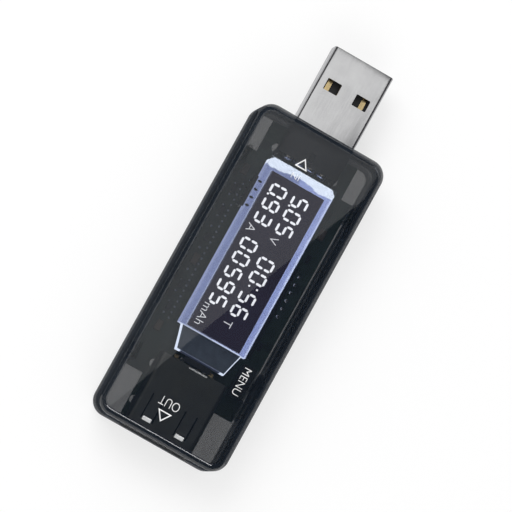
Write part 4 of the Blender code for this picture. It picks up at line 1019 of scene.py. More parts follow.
# ---- USB plug ---------------------------------------------------------------------------------------
@dataclass
class PlugSleeve:
    """The plug's folded steel sleeve: windows, the notch over the moulding, the fold's joint and the legs."""

    tip_x: float = 0.03885
    rear_x: float = 0.01735
    half_width: float = 0.0060
    half_height: float = 0.00225
    centre_z: float = 0.00629
    sheet: float = 0.0003
    bend: float = 0.0006
    lead_in: float = 0.00012
    window_from_tip: float = 0.0057
    window: Pair = (0.0022, 0.0028)
    window_spacing: float = 0.0059
    window_corner: float = 0.00018
    notch: tuple[float, float, float] = (0.01795, 0.01985, 0.00045)
    notch_corner: float = 0.0002
    cutter_reach: float = 0.004
    joint_half_width: float = 0.00004
    joint_depth: float = 0.00012
    leg_x: float = 0.01705
    leg_half: float = 0.0007
    leg_low: float = 0.0022
    steps: int = 9

    def ring(self, inset: float, x: float) -> list[Point]:
        """The sleeve's outline across X, pulled in by inset."""
        radius = max(self.bend - inset, 0.00025)
        outline = rounded_outline(self.half_width - inset, self.half_height - inset, radius, self.steps)
        return [(x, y, z + self.centre_z) for y, z in outline]

    def cutters(self) -> list[Object]:
        """The windows through both broad faces, the notch above and the fold's joint below."""
        cutters = []
        middle = self.tip_x - self.window_from_tip - self.window[0] / 2
        below, above = self.centre_z - self.cutter_reach, self.centre_z + self.cutter_reach
        for side in (-1, 1):
            outline = rounded_outline(self.window[0] / 2, self.window[1] / 2, self.window_corner, 4)
            points = [(x + middle, y + side * self.window_spacing / 2) for x, y in outline]
            cutters.append(prism(f"window_{side}", points, below, above))
        low, high, half = self.notch
        notch = rounded_outline((high - low) / 2, half, self.notch_corner, 4)
        points = [(x + (high + low) / 2, y) for x, y in notch]
        cutters.append(prism("notch", points, self.centre_z, above))
        j, start, end = self.joint_half_width, self.rear_x - 0.001, self.tip_x + 0.001
        joint = [(start, -j), (end, -j), (end, j), (start, j)]
        cutters.append(prism("joint", joint, below, self.centre_z - self.half_height + self.joint_depth))
        return cutters

    def build(self) -> None:
        """Makes the sleeve and puts it in its node's place."""
        s, e = self.sheet, self.lead_in
        rings = [
            self.ring(0.0, self.rear_x),
            self.ring(0.0, self.tip_x - e),
            self.ring(e * 0.3, self.tip_x - e * 0.3),
            self.ring(e, self.tip_x),
            self.ring(s - e * 0.4, self.tip_x),
            self.ring(s, self.tip_x - e * 0.6),
            self.ring(s, self.rear_x),
        ]
        bm = bmesh.new()
        loft(bm, rings, closed=True)
        sleeve = object_from("plug_sleeve", bm)
        combine(sleeve, self.cutters(), "DIFFERENCE")
        legs = []
        for side in (-1, 1):
            low_y, high_y = sorted((side * self.half_width, side * (self.half_width - s)))
            low = (self.leg_x - self.leg_half, low_y, self.leg_low)
            high = (self.leg_x + self.leg_half, high_y, self.centre_z)
            legs.append(slab(f"leg_{side}", low, high))
        combine(sleeve, legs, "UNION")
        smooth(sleeve, 32.0)
        wear(sleeve, CASE_BODY, STEEL)
        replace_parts(sleeve, "usb_plug_shell")


# ---- Rows -------------------------------------------------------------------------------------------
class RowTree:
    """A geometry nodes tree that sets copies of a thing in a line, real and painted."""

    def __init__(self, name: str, kinds: dict[str, str], finish: Finish) -> None:
        """Starts the tree.

        Args:
            name: the tree's name.
            kinds: the kind of each input socket by label; Count and Step are among them.
            finish: the copies' finish.
        """
        self.group = bpy.data.node_groups.new(name, "GeometryNodeTree")
        self.finish = finish
        sockets = self.group.interface
        self.names = {}
        for label, kind in kinds.items():
            socket = sockets.new_socket(label, in_out="INPUT", socket_type=f"NodeSocket{kind}")
            self.names[label] = socket.identifier
        sockets.new_socket("Geometry", in_out="OUTPUT", socket_type="NodeSocketGeometry")
        self.entry = self.node("NodeGroupInput")
        self.line = self.node("GeometryNodeMeshLine")
        self.join(self.entry.outputs["Count"], self.line.inputs["Count"])
        self.join(self.entry.outputs["Step"], self.line.inputs["Offset"])

    def node(self, kind: str) -> bpy.types.Node:
        """Adds a node."""
        return self.group.nodes.new(kind)

    def join(self, source: Socket, target: Socket) -> None:
        """Links an output to an input."""
        self.group.links.new(source, target)

    def bead(self, oval: float) -> Socket:
        """A low round bead of the Radius and Height inputs, oval times as wide across Y."""
        bead = self.node("GeometryNodeMeshUVSphere")
        bead.inputs["Segments"].default_value = 14
        bead.inputs["Rings"].default_value = 7
        kinds = ("GeometryNodeTransform", "ShaderNodeCombineXYZ", "ShaderNodeMath")
        flat, scale, ratio = map(self.node, kinds)
        ratio.operation = "DIVIDE"
        scale.inputs[0].default_value = 1.0
        scale.inputs[1].default_value = oval
        self.join(self.entry.outputs["Radius"], bead.inputs["Radius"])
        self.join(self.entry.outputs["Height"], ratio.inputs[0])
        self.join(self.entry.outputs["Radius"], ratio.inputs[1])
        self.join(ratio.outputs[0], scale.inputs[2])
        self.join(bead.outputs["Mesh"], flat.inputs["Geometry"])
        self.join(scale.outputs[0], flat.inputs["Scale"])
        return flat.outputs[0]

    def repeat(self, thing: Socket) -> None:
        """Sets the thing on the line's points, makes the copies real and paints them."""
        spread = self.node("GeometryNodeInstanceOnPoints")
        real = self.node("GeometryNodeRealizeInstances")
        paint = self.node("GeometryNodeSetMaterial")
        paint.inputs["Material"].default_value = self.finish.material()
        self.join(self.line.outputs[0], spread.inputs["Points"])
        self.join(thing, spread.inputs["Instance"])
        self.join(spread.outputs[0], real.inputs[0])
        self.join(real.outputs[0], paint.inputs["Geometry"])
        self.join(paint.outputs[0], self.node("NodeGroupOutput").inputs["Geometry"])

    def bake(self, obj: Object, **values: object) -> None:
        """Bakes the row into an object's mesh, with the inputs' values by label."""
        row = obj.modifiers.new("row", "NODES")
        row.node_group = self.group
        for label, value in values.items():
            row[self.names[label]] = value
        baked(obj)


@dataclass
class BeadRow:
    """A straight row of low round beads, such as solder joints or plated holes."""

    name: str
    start: Point
    step: Pair
    count: int
    radius: float
    height: float
    finish: Finish
    oval: float = 1.0

    def build(self) -> Object:
        """Makes the row as a plain mesh that rides with the case."""
        obj = link(bpy.data.objects.new(self.name, bpy.data.meshes.new(self.name)))
        kinds = {"Count": "Int", "Step": "Vector", "Start": "Vector", "Radius": "Float", "Height": "Float"}
        tree = RowTree(f"row_of_{self.name}", kinds, self.finish)
        tree.join(tree.entry.outputs["Start"], tree.line.inputs["Start Location"])
        tree.repeat(tree.bead(self.oval))
        place = {"Step": (*self.step, 0.0), "Start": self.start}
        tree.bake(obj, Count=self.count, Radius=self.radius, Height=self.height, **place)
        obj.data.shade_smooth()
        return wear(obj, CASE_BODY, self.finish)


@dataclass
class PinRow:
    """A row of wire pins that hold a glass by its edge and stand in the board, with their bead of resin."""

    name: str
    node: str
    first_x: float
    count: int
    side: int
    pitch: float = 0.0016
    wire: float = 0.00036
    wire_ease: float = 0.00004
    glass_y: float = 0.00676
    lead_y: float = 0.00740
    foot_z: float = 0.0022
    arm_z: float = 0.00990
    bead_below: Pair = (0.0010, 0.0004)
    bead_over: float = 0.0002
    bead_ease: float = 0.00012

    def build(self) -> None:
        """Makes the pins from one bent pin, adds the bead, and puts them in their node's place."""
        half = self.wire / 2
        outer, inner = self.lead_y + half, self.lead_y - half
        top, low = self.arm_z + half, self.arm_z - half
        path = [(outer, self.foot_z), (outer, top), (self.glass_y, top), (self.glass_y, low)]
        path += [(inner, low), (inner, self.foot_z)]
        x = self.first_x + self.wire
        outline = [(self.side * y, z) for y, z in path]
        pins = prism(self.name, outline, x - half, x + half, Axis.X, ease=self.wire_ease)
        kinds = {"Count": "Int", "Step": "Vector", "Geometry": "Geometry"}
        # The pins wear painted shade.
        tree = RowTree(f"line_of_{self.name}", kinds, PIN_PAINTED_SHADE)
        tree.repeat(tree.entry.outputs["Geometry"])
        tree.bake(pins, Count=self.count, Step=(self.pitch, 0.0, 0.0))
        low_y, high_y = sorted((self.side * self.glass_y, self.side * (self.lead_y + self.bead_over)))
        low_z, high_z = (self.arm_z - below for below in self.bead_below)
        end_x = self.first_x + self.pitch * self.count - self.wire
        low, high = (self.first_x, low_y, low_z), (end_x, high_y, high_z)
        combine(pins, [slab(f"{self.name}_bead", low, high, ease=self.bead_ease)], "UNION")
        wear(pins, CASE_BODY, PIN_PAINTED_SHADE)
        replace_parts(pins, self.node)


# ---- Display ----------------------------------------------------------------------------------------
@dataclass
class SegmentDigit:
    """A seven-segment figure: its size and which bars light for each figure."""

    width: float = 0.00218
    height: float = 0.00320
    bar: float = 0.00042
    gap: float = 0.00010
    bars_of: str = "abcdef,bc,abdeg,abcdg,bcfg,acdfg,acdefg,abc,abcdefg,abcdfg"

    def bar_outline(self, start: Pair, end: Pair) -> list[Pair]:
        """A bar with pointed ends between two corners of the figure, as (across, up)."""
        a, b = Vector(start), Vector(end)
        along = (b - a).normalized()
        side = Vector((-along.y, along.x)) * self.bar / 2
        a, b = a + along * self.gap, b - along * self.gap
        point = along * self.bar / 2
        corners = (a, a + point - side, b - point - side, b, b - point + side, a + point + side)
        return [tuple(p) for p in corners]

    def outlines(self, figure: str) -> list[list[tuple[float, float]]]:
        """The lit bars of a figure.

        Args:
            figure: a digit from 0 to 9.

        Returns:
            The bars' outlines as (across, up).
        """
        inset = self.bar / 2
        left, right = inset, self.width - inset
        low, middle, high = inset, self.height / 2, self.height - inset
        ends = {
            "a": ((left, high), (right, high)),
            "b": ((right, high), (right, middle)),
            "c": ((right, middle), (right, low)),
            "d": ((right, low), (left, low)),
            "e": ((left, low), (left, middle)),
            "f": ((left, middle), (left, high)),
            "g": ((left, middle), (right, middle)),
        }
        return [self.bar_outline(*ends[bar]) for bar in self.bars_of.split(",")[int(figure)]]


@dataclass
class Display:
    """The backlit display: light guide, dark cell, characters, pins, and the film over the neck."""

    view_plug_side: float = 0.01325
    guide_plug_side: float = 0.01580
    guide_neck: float = -0.01820
    neck_end: float = -0.02270
    guide_half_width: float = 0.0068
    neck_half: Pair = (0.0060, 0.0049)
    guide_low: float = 0.00759
    guide_high: float = 0.00939
    corner_cut: float = 0.0009
    neck_line: float = 0.00016
    swelling: tuple[float, float, float] = (-0.0142, -0.0172, 0.0003)
    film_low: float = 0.00943
    film_high: float = 0.00955
    characters_low: float = 0.01096
    characters_high: float = 0.01098
    feet_y: Pair = (-0.0001, 0.00425)
    unit_height: float = 0.00152
    characters_inset: float = 0.00032
    unit_drop: float = 0.00028
    dot: float = 0.00034
    first_pad: Point = (0.00573, 0.00628, 0.01018)
    neck_insets: Pair = (0.0001, 0.00025)
    digit: SegmentDigit = field(default_factory=SegmentDigit)
    figures: tuple[str, str] = ("5050056", "09300595")
    figure_starts: tuple[tuple[float, ...], tuple[float, ...]] = (
        (0.00136, 0.00414, 0.00692, 0.01386, 0.01671, 0.02068, 0.02355),
        (0.00136, 0.00414, 0.00692, 0.01223, 0.01508, 0.01793, 0.02059, 0.02345),
    )
    dots: tuple[tuple[int, float, float], ...] = (
        (0, 0.00366, 0.0),
        (1, 0.00366, 0.0),
        (0, 0.01962, 0.0007),
        (0, 0.01962, 0.0023),
    )
    units: tuple[tuple[int, str, float], ...] = (
        (0, "V", 0.00982),
        (0, "T", 0.02674),
        (1, "A", 0.00973),
        (1, "mAh", 0.02595),
    )

    def guide_outline(self) -> list[Pair]:
        """The light guide's outline, with cut corners by the plug and a neck that narrows to the lamp."""
        w, c = self.guide_half_width, self.corner_cut
        half = [
            (self.guide_plug_side, w - c),
            (self.guide_plug_side - c, w),
            (self.guide_neck, w),
            (self.guide_neck, self.neck_half[0]),
            (self.neck_end, self.neck_half[1]),
        ]
        start, end, out = self.swelling
        other = [(x, -y) for x, y in reversed(half)]
        bulge = [(self.guide_neck, -w), (end, -w - out), (start, -w - out * 0.7), (start + 0.0012, -w)]
        return half + other[:2] + bulge + other[3:]

    def origin(self, line: int, start: float, drop: float = 0.0) -> Pair:
        """Where a character stands.

        Args:
            line: 0 for the first line, 1 for the second.
            start: its distance from the line's start.
            drop: how far below the line's feet it stands.

        Returns:
            The point as (x, y).
        """
        return self.view_plug_side - self.characters_inset - start, self.feet_y[line] + drop

    def characters(self) -> Object:
        """All lit figures and dots as one object."""
        outlines = []
        for line in (0, 1):
            for figure, start in zip(self.figures[line], self.figure_starts[line]):
                origin = self.origin(line, start)
                for outline in self.digit.outlines(figure):
                    outlines.append([Reading.ALONG_DISPLAY.place(a, u, origin) for a, u in outline])
        ring = rounded_outline(self.dot / 2, self.dot / 2, self.dot * 0.2, 3)
        for line, start, up in self.dots:
            origin = self.origin(line, start)
            outlines.append([Reading.ALONG_DISPLAY.place(a, u + up + self.dot / 2, origin) for a, u in ring])
        return flat_sheets("display_figures", outlines, self.characters_low, self.characters_high)

    def build(self, nodes: Nodes) -> None:
        """Makes the display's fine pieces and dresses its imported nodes.

        Args:
            nodes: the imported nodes.
        """
        guide = prism("glowing_guide", self.guide_outline(), self.guide_low, self.guide_high, ease=0.00008)
        wear(guide, CASE_BODY, GUIDE)
        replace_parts(guide, "light_guide")

        w0, w1 = self.neck_half
        near, far = self.guide_neck - self.neck_insets[0], self.neck_end + self.neck_insets[1]
        line = self.neck_line
        neck = [(near, w0 - line), (far, w1 - line), (far, -w1 + line), (near, -w0 + line)]
        film = prism("neck_film", neck, self.film_low, self.film_high)
        wear(film, CASE_BODY, NECK)
        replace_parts(film, "neck_mask")

        wear(self.characters(), CASE_BODY, DIGIT)
        for line, word, start in self.units:
            origin = self.origin(line, start, self.unit_drop * line)
            sign = Lettering(f"unit_{word}", word, self.unit_height, origin, Reading.ALONG_DISPLAY)
            sign.build(self.characters_low, self.characters_high, SIGN, "polariser_film")
        dress(nodes, ("display_front_polariser", "display_rear_polariser"), CELL)
        dress(nodes, ("display_front_glass", "display_ledge_glass"), GLASS)
        dress(nodes, ("reflector_film",), REFLECTOR)
        dress(nodes, ("backlight_lamp",), LAMP_HOUSING)
        dress(nodes, ("backlight_lead_1", "backlight_lead_2"), TIN)
        PinRow("segment_pins", "display_pins_segment", -0.0180, 12, -1).build()
        PinRow("common_pins", "display_pins_common", 0.0053, 4, 1).build()
        BeadRow("common_pads", self.first_pad, (0.00160, 0.0), 4, 0.00023, 0.00004, DARK_PAD_MARK, 1.7).build()
        dress(nodes, ("foam_pad_plug_side", "foam_pad_socket_side"), FOAM)


# ---- Lettering --------------------------------------------------------------------------------------
@dataclass
class Lettering:
    """A word as a thin sheet on a surface: its height, its start or middle, and the way that it reads."""

    name: str
    word: str
    height: float
    origin: Pair
    reading: Reading
    centred: bool = False
    length: float = 0.0
    weight: float = -0.012

    def build(self, low: float, high: float, finish: Finish, slot: str) -> Object:
        """Makes the word as a mesh.

        Args:
            low: the sheet's underside.
            high: the sheet's top.
            finish: the ink or light.
            slot: the record's material slot; not used.

        Returns:
            The word, riding with the case.
        """
        curve = bpy.data.curves.new(self.name, "FONT")
        curve.body = self.word
        curve.size = 1.0
        curve.fill_mode = "FRONT"
        curve.offset = self.weight
        text = link(bpy.data.objects.new(self.name + "_curve", curve))
        bpy.context.view_layer.update()
        flat = bpy.data.meshes.new_from_object(text.evaluated_get(bpy.context.evaluated_depsgraph_get()))
        bpy.data.objects.remove(text)
        bpy.data.curves.remove(curve)
        bm = bmesh.new()
        bm.from_mesh(flat)
        bpy.data.meshes.remove(flat)
        bmesh.ops.remove_doubles(bm, verts=bm.verts, dist=1e-4)
        xs = [v.co.x for v in bm.verts]
        ys = [v.co.y for v in bm.verts]
        left, foot = min(xs), min(ys)
        scale = self.height / (max(ys) - foot)
        wide = (max(xs) - left) * scale
        stretch = self.length / wide if self.length else 1.0
        shift, lift = (wide * stretch / 2, self.height / 2) if self.centred else (0.0, 0.0)
        for v in bm.verts:
            across = (v.co.x - left) * scale * stretch - shift
            up = (v.co.y - foot) * scale - lift
            x, y = self.reading.place(across, up, self.origin)
            v.co = (x, y, low)
        grown = bmesh.ops.extrude_face_region(bm, geom=bm.faces[:])
        for v in grown["geom"]:
            if isinstance(v, bmesh.types.BMVert):
                v.co.z = high
        word = object_from(self.name, bm)
        return wear(word, CASE_BODY, finish)


@dataclass
class Printing:
    """The signs on the front: the button's word, and a word and an outlined arrow for each end."""

    low: float = 0.012389
    high: float = FRONT_HEIGHT
    stroke: float = 0.00021
    menu: Pair = (-0.02236, -0.00790)
    out: Pair = (-0.03200, 0.00140)
    into: Pair = (0.01410, 0.00140)
    arrows: tuple[tuple[str, float, float, float, float], ...] = (
        ("arrow_out", -0.03358, -0.03555, 0.00140, 0.00137),
        ("arrow_in", 0.01587, 0.01781, 0.00132, 0.00123),
    )

    def arrow(self, name: str, base_x: float, apex_x: float, y: float, half: float) -> Object:
        """A triangle drawn as an even line.

        Args:
            name: the object's name.
            base_x: where its base lies.
            apex_x: where it points to.
            y: its middle.
            half: half its base.

        Returns:
            The triangle, riding with the case.
        """
        corners = [Vector((base_x, y - half)), Vector((base_x, y + half)), Vector((apex_x, y))]
        inside = []
        for i, corner in enumerate(corners):
            a = (corners[i - 1] - corner).normalized()
            b = (corners[(i + 1) % 3] - corner).normalized()
            bisector = (a + b).normalized()
            sine = abs(a.x * bisector.y - a.y * bisector.x)
            inside.append(corner + bisector * self.stroke / max(sine, 0.2))
        bm = bmesh.new()
        levels = []
        for z in (self.low, self.high):
            levels.append([[bm.verts.new((*p, z)) for p in ring] for ring in (corners, inside)])
        (low_out, low_in), (high_out, high_in) = levels
        for i in range(3):
            j = (i + 1) % 3
            bm.faces.new((low_out[i], low_out[j], low_in[j], low_in[i]))
            bm.faces.new((high_out[i], high_out[j], high_in[j], high_in[i]))
            bm.faces.new((low_out[i], low_out[j], high_out[j], high_out[i]))
            bm.faces.new((low_in[i], low_in[j], high_in[j], high_in[i]))
        return wear(object_from(name, bm), CASE_BODY, PRINT)

    def build(self) -> None:
        """Makes the words and the arrows."""
        words = (
            Lettering("word_menu", "MENU", 0.00140, self.menu, Reading.ALONG_DISPLAY, True, 0.0052),
            Lettering("word_out", "OUT", 0.00165, self.out, Reading.FROM_PLUG_END, True, 0.0039),
            Lettering("word_in", "IN", 0.00092, self.into, Reading.FROM_PLUG_END, True, 0.0015),
        )
        for word in words:
            word.build(self.low, self.high, PRINT, "smoked_plastic")
        for name, base_x, apex_x, y, half in self.arrows:
            self.arrow(name, base_x, apex_x, y, half)


# ---- Board ------------------------------------------------------------------------------------------
@dataclass
class Electronics:
    """The board and what is soldered to it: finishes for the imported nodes, and rows of solder joints."""

    skin: float = 0.00002
    hole_pitch: float = 0.0011
    spring_x: float = -0.03615
    spring_half_length: float = 0.00034
    spring_half_width: float = 0.00085
    spring_low: float = 0.00958
    spring_rise: float = 0.00025
    lip_x: float = -0.02450
    lip_half_length: float = 0.00013
    lip_rise: float = 0.00010
    lip_low: float = 0.00979
    sheet: float = 0.00010
    sheet_ease: float = 0.00003

    def rows(self) -> list[BeadRow]:
        """The solder joints that show above and below the board."""
        top, low, pitch = BOARD_TOP + self.skin, BOARD_LOW - self.skin, self.hole_pitch
        darker_finish, bright = DARK_SOLDER, SOLDER
        rows = (
            # The joints by the plug wear solder with painted light.
            ("plug_joints", (0.01760, 0.0035, top), (0.0, -0.00233), 4, 0.00110, 0.0010, SOLDER_PAINTED_LIGHT),
            ("side_holes", (-0.00815, -0.0089, top), (0.0016, 0.0), 6, 0.00034, 0.00010, bright),
            ("edge_holes", (-0.0180, 0.0081, top), (pitch, 0.0), 26, 0.00024, 0.00006, darker_finish),
            ("edge_holes_inner", (-0.0175, 0.0094, top), (2 * pitch, 0.0), 13, 0.00024, 0.00006, darker_finish),
            ("common_joints", (0.00585, 0.00725, low), (0.0016, 0.0), 4, 0.00050, 0.00045, bright),
            ("segment_joints", (-0.01735, -0.00725, low), (0.0016, 0.0), 12, 0.00050, 0.00045, bright),
        )
        return [BeadRow(*row) for row in rows]

    def build(self, nodes: Nodes) -> None:
        """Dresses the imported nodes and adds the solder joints.

        Args:
            nodes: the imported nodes.
        """
        chips = ("microcontroller", "memory_chip", "voltage_regulator", "current_shunt", "protection_diode")
        finishes = (
            (("circuit_board",), BOARD),
            (("usb_socket_shell", "switch_cover", "switch_dome"), SOCKET_STEEL),
            (("usb_plug_insulator", "usb_socket_insulator", "switch_body"), BLACK_MOULDING),
            (("switch_plunger",), BUTTON_BLACK),
            ([n for n in nodes if "_contact_" in n], GOLD),
            (chips, CHIP_RESIN),
            ([n for n in nodes if n.startswith("resistor_")], CHIP_RESIN),
            ([n for n in nodes if n.startswith("capacitor_")], CERAMIC),
            (("supply_capacitor",), TANTALUM),
        )
        for names, finish in finishes:
            dress(nodes, names, finish)
        for row in self.rows():
            row.build()
        self.socket_springs()

    def socket_springs(self) -> None:
        """The bright bent ends of the socket's two upper springs, and the lip at the shell's rear, which carry a
        painted highlight as emission.
        """
        half, rise = self.spring_half_width, self.spring_rise
        spring = (self.spring_x, self.spring_half_length, self.spring_low, rise)
        lip = (self.lip_x, self.lip_half_length, self.lip_low, self.lip_rise)
        bends = (
            ("spring_bend_left", *spring, 0.00335 - half, 0.00335 + half),
            ("spring_bend_right", *spring, -0.00325 - half, -0.00325 + half),
            ("socket_rear_lip", *lip, -0.0024, 0.0012),
        )
        for name, x, half_length, low, rise, right, left in bends:
            near, far, high, thick = x - half_length, x + half_length, low + rise, self.sheet
            outline = [(near, low), (far, high), (far, high + thick), (near, low + thick)]
            bend = prism(name, outline, right, left, Axis.Y, ease=self.sheet_ease)
            wear(bend, CASE_BODY, LIP_STEEL_PAINTED_GLINT if name == "socket_rear_lip" else SPRING_STEEL_PAINTED_GLINT)


# ---- Studio -----------------------------------------------------------------------------------------
@dataclass
class Studio:
    """A pale floor, a white surround, soft lamps, and cards and mats that only reflections show; the dark mat
    round the case is a painted shadow.
    """

    aim: Point = (-0.00090, 0.0, 0.0062)
    towards_camera: Point = (-0.1228, 0.1139, 1.0)
    distance: float = 0.760
    lens: float = 300.0
    sensor: float = 36.0
    turn: float = 28.97
    floor_size: float = 3.0
    card_height: float = 0.40
    floor_paint: float = 0.94
    floor_glow: float = 0.65
    surround_light: float = 0.55
    card_size: float = 0.50
    card_edge: tuple[Pair, Pair] = ((-0.00055, -0.00440), (-0.02855, 0.00680))
    # The dark mat is a painted shadow: it stands in for the floor's shade round the case's foot, seen in
    # reflections.
    mat_corners: tuple[Pair, Pair] = ((-0.0405, -0.600), (0.0245, 0.120))
    plug_mat_corners: tuple[Pair, Pair] = ((0.0246, -0.200), (0.120, 0.200))
    ring_radius: float = 0.60
    strip_radius: float = 0.50
    strip_elevations: Pair = (47.0, 56.0)
    strip_half_width: float = 0.16
    strip_strength: float = 8.0
    ring_elevations: Pair = (4.0, 54.0)
    ring_sides: int = 64

    @property
    def back(self) -> Vector:
        """The direction from the aim point to the camera."""
        return Vector(self.towards_camera).normalized()

    @property
    def eye(self) -> Vector:
        """Where the camera is."""
        return Vector(self.aim) + self.back * self.distance

    def camera(self) -> None:
        """A long lens that looks down, with the stick leaning to the right."""
        data = bpy.data.cameras.new("camera")
        data.type = "PERSP"
        data.lens, data.sensor_width = self.lens, self.sensor
        data.clip_start, data.clip_end = 0.01, 20.0
        obj = link(bpy.data.objects.new("camera", data))
        along = Vector((1.0, 0.0, 0.0))
        along = (along - self.back * along.dot(self.back)).normalized()
        up = Matrix.Rotation(math.radians(self.turn), 3, self.back) @ along
        right = up.cross(self.back)
        turned = Matrix((right, up, self.back)).transposed().to_4x4()
        obj.matrix_world = Matrix.Translation(self.eye) @ turned
        bpy.context.scene.camera = obj

    @staticmethod
    def join(tree: bpy.types.NodeTree, *pairs: tuple[Socket, Socket]) -> None:
        """Links each pair's output to its input."""
        for source, target in pairs:
            tree.links.new(source, target)

    def floor(self) -> None:
        """A white floor that keeps part of the object's shadow."""
        bm = bmesh.new()
        bmesh.ops.create_grid(bm, x_segments=1, y_segments=1, size=self.floor_size / 2)
        floor = object_from("floor", bm)
        material = bpy.data.materials.new("floor")
        material.use_nodes = True
        tree = material.node_tree
        tree.nodes.clear()
        paint, glow, rays, seen, share, mix, out = map(
            tree.nodes.new,
            (
                "ShaderNodeBsdfDiffuse",
                "ShaderNodeEmission",
                "ShaderNodeLightPath",
                "ShaderNodeMath",
                "ShaderNodeMath",
                "ShaderNodeMixShader",
                "ShaderNodeOutputMaterial",
            ),
        )
        paint.inputs["Color"].default_value = (self.floor_paint, self.floor_paint, self.floor_paint, 1.0)
        seen.operation, share.operation = "MAXIMUM", "MULTIPLY"
        share.inputs[1].default_value = self.floor_glow
        self.join(
            tree,
            (rays.outputs["Is Camera Ray"], seen.inputs[0]),
            (rays.outputs["Is Glossy Ray"], seen.inputs[1]),
            (seen.outputs[0], share.inputs[0]),
            (share.outputs[0], mix.inputs[0]),
            (paint.outputs[0], mix.inputs[1]),
            (glow.outputs[0], mix.inputs[2]),
            (mix.outputs[0], out.inputs["Surface"]),
        )
        floor.data.materials.append(material)
        floor.location.z = -0.00002

    def show(self, name: str, faces: Iterable[Sequence[Point]], colour: Colour, strength: float = 1.0) -> None:
        """Makes a card that gives light of its own and is seen in reflections alone.

        Args:
            name: the card's name.
            faces: the corners of each face.
            colour: its colour.
            strength: its brightness.
        """
        bm = bmesh.new()
        for face in faces:
            bm.faces.new([bm.verts.new(corner) for corner in face])
        card = object_from(name, bm)
        material = bpy.data.materials.new(name)
        material.use_nodes = True
        tree = material.node_tree
        tree.nodes.clear()
        glow, out = tree.nodes.new("ShaderNodeEmission"), tree.nodes.new("ShaderNodeOutputMaterial")
        glow.inputs["Color"].default_value = (*colour, 1.0)
        glow.inputs["Strength"].default_value = strength
        self.join(tree, (glow.outputs[0], out.inputs["Surface"]))
        card.data.materials.append(material)
        for kind in ("camera", "diffuse", "transmission", "shadow", "volume_scatter"):
            setattr(card, f"visible_{kind}", False)

    def card(self) -> None:
        """The card overhead: its edge is where the front's bright part ends."""
        edge = []
        for x, y in self.card_edge:
            spot = Vector((x, y, FRONT_HEIGHT))
            ray = spot - self.eye
            ray.z = -ray.z
            edge.append(spot + ray * (self.card_height / ray.z))
        along = (edge[1] - edge[0]).normalized() * self.card_size
        across = Vector((along.y, -along.x, 0.0))
        if across.y > 0:
            across = -across
        a, b = edge[0] - along, edge[1] + along
        self.show("card_overhead", [(a, b, b + across, a + across)], (0.04, 0.04, 0.05))

    def ring(self) -> None:
        """A dark band round the set, which shows in bends and rounded edges."""
        low, high = (self.circle(self.ring_radius, e, self.ring_sides) for e in self.ring_elevations)
        faces = [(low[i - 1], low[i], high[i], high[i - 1]) for i in range(self.ring_sides)]
        self.show("card_ring", faces, (0.08, 0.08, 0.085))

    @staticmethod
    def circle(radius: float, elevation: float, sides: int) -> list[Point]:
        """A level circle on a sphere round the origin.

        Args:
            radius: the sphere's radius.
            elevation: the circle's elevation in degrees.
            sides: the number of points.

        Returns:
            The points.
        """
        e = math.radians(elevation)
        flat, height = radius * math.cos(e), radius * math.sin(e)
        turns = [2 * math.pi * i / sides for i in range(sides)]
        return [(flat * math.cos(a), flat * math.sin(a), height) for a in turns]

    def strip(self) -> None:
        """A bright strip low on the socket's side, which shows as a line along that end's rounded edge."""
        low, high = (math.radians(e) for e in self.strip_elevations)
        corners = []
        for e, side in ((low, -1), (low, 1), (high, 1), (high, -1)):
            radius = self.strip_radius
            corners.append((-radius * math.cos(e), side * self.strip_half_width, radius * math.sin(e)))
        self.show("strip", [corners], (1.0, 1.0, 1.0), self.strip_strength)

    def mat(self, name: str, corners: tuple[Pair, Pair], colour: Colour) -> None:
        """A mat on the floor, which upright faces show at a grazing angle.

        Args:
            name: the mat's name.
            corners: the lowest and the highest X and Y.
            colour: what reflections show of it.
        """
        (low_x, low_y), (high_x, high_y) = corners
        outline = ((low_x, low_y), (high_x, low_y), (high_x, high_y), (low_x, high_y))
        self.show(name, [[(x, y, -0.00001) for x, y in outline]], colour)

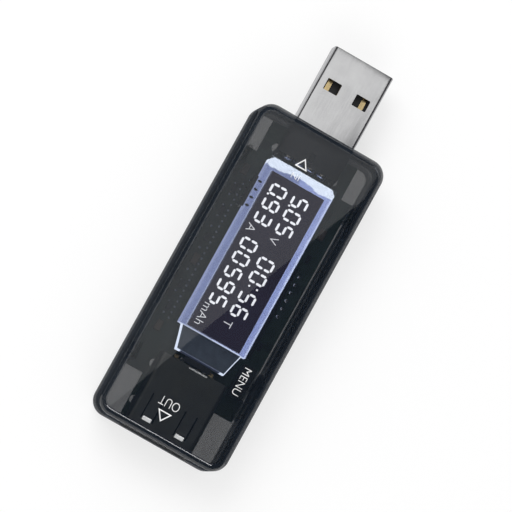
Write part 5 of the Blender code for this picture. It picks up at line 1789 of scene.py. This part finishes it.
    def lamp(self, name: str, place: Point, size: float, power: float) -> None:
        """A square soft lamp that points at the aim point and isn't seen in reflections."""
        data = bpy.data.lights.new(name, "AREA")
        data.size, data.energy = size, power
        lamp = link(bpy.data.objects.new(name, data))
        lamp.location = place
        towards = Vector(self.aim) - Vector(place)
        lamp.rotation_euler = towards.to_track_quat("-Z", "Y").to_euler()
        lamp.visible_glossy = False

    def surround(self) -> None:
        """A white surround for the camera and for reflections, and a dimmer one as light."""
        world = bpy.data.worlds.new("surround")
        bpy.context.scene.world = world
        world.use_nodes = True
        tree = world.node_tree
        tree.nodes.clear()
        rays, either, seen, level, back, out = map(
            tree.nodes.new,
            (
                "ShaderNodeLightPath",
                "ShaderNodeMath",
                "ShaderNodeMath",
                "ShaderNodeMapRange",
                "ShaderNodeBackground",
                "ShaderNodeOutputWorld",
            ),
        )
        either.operation = seen.operation = "MAXIMUM"
        level.inputs["To Min"].default_value = self.surround_light
        level.inputs["To Max"].default_value = 1.0
        back.inputs["Color"].default_value = (1.0, 1.0, 1.0, 1.0)
        self.join(
            tree,
            (rays.outputs["Is Camera Ray"], either.inputs[0]),
            (rays.outputs["Is Glossy Ray"], either.inputs[1]),
            (either.outputs[0], seen.inputs[0]),
            (rays.outputs["Is Transmission Ray"], seen.inputs[1]),
            (seen.outputs[0], level.inputs["Value"]),
            (level.outputs[0], back.inputs["Strength"]),
            (back.outputs[0], out.inputs["Surface"]),
        )

    def build(self) -> None:
        """Sets the camera, the floor, the cards and the lamps."""
        self.camera()
        self.floor()
        self.card()
        self.ring()
        # Painted shadow: the dark mat round the case stands in for the floor's shade near its foot.
        self.mat("card_mat", self.mat_corners, (0.05, 0.055, 0.065))
        self.mat("card_mat_plug", self.plug_mat_corners, (0.66, 0.66, 0.67))
        self.strip()
        self.lamp("lamp_plug_side", (0.30, 0.35, 0.60), 0.5, 3.2)
        self.lamp("lamp_socket_side", (-0.45, -0.20, 0.50), 0.5, 1.2)
        self.surround()
        bpy.context.scene.view_settings.view_transform = "Standard"


def main() -> None:
    """Builds the pieces in order."""
    logging.basicConfig(level=logging.INFO, format="%(name)s %(message)s")
    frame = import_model()
    nodes = frame["nodes"]
    Case().build()
    MenuButton().build()
    PlugSleeve().build()
    Display().build(nodes)
    Electronics().build(nodes)
    Printing().build()
    Studio().build()


if __name__ == "__main__":
    main()
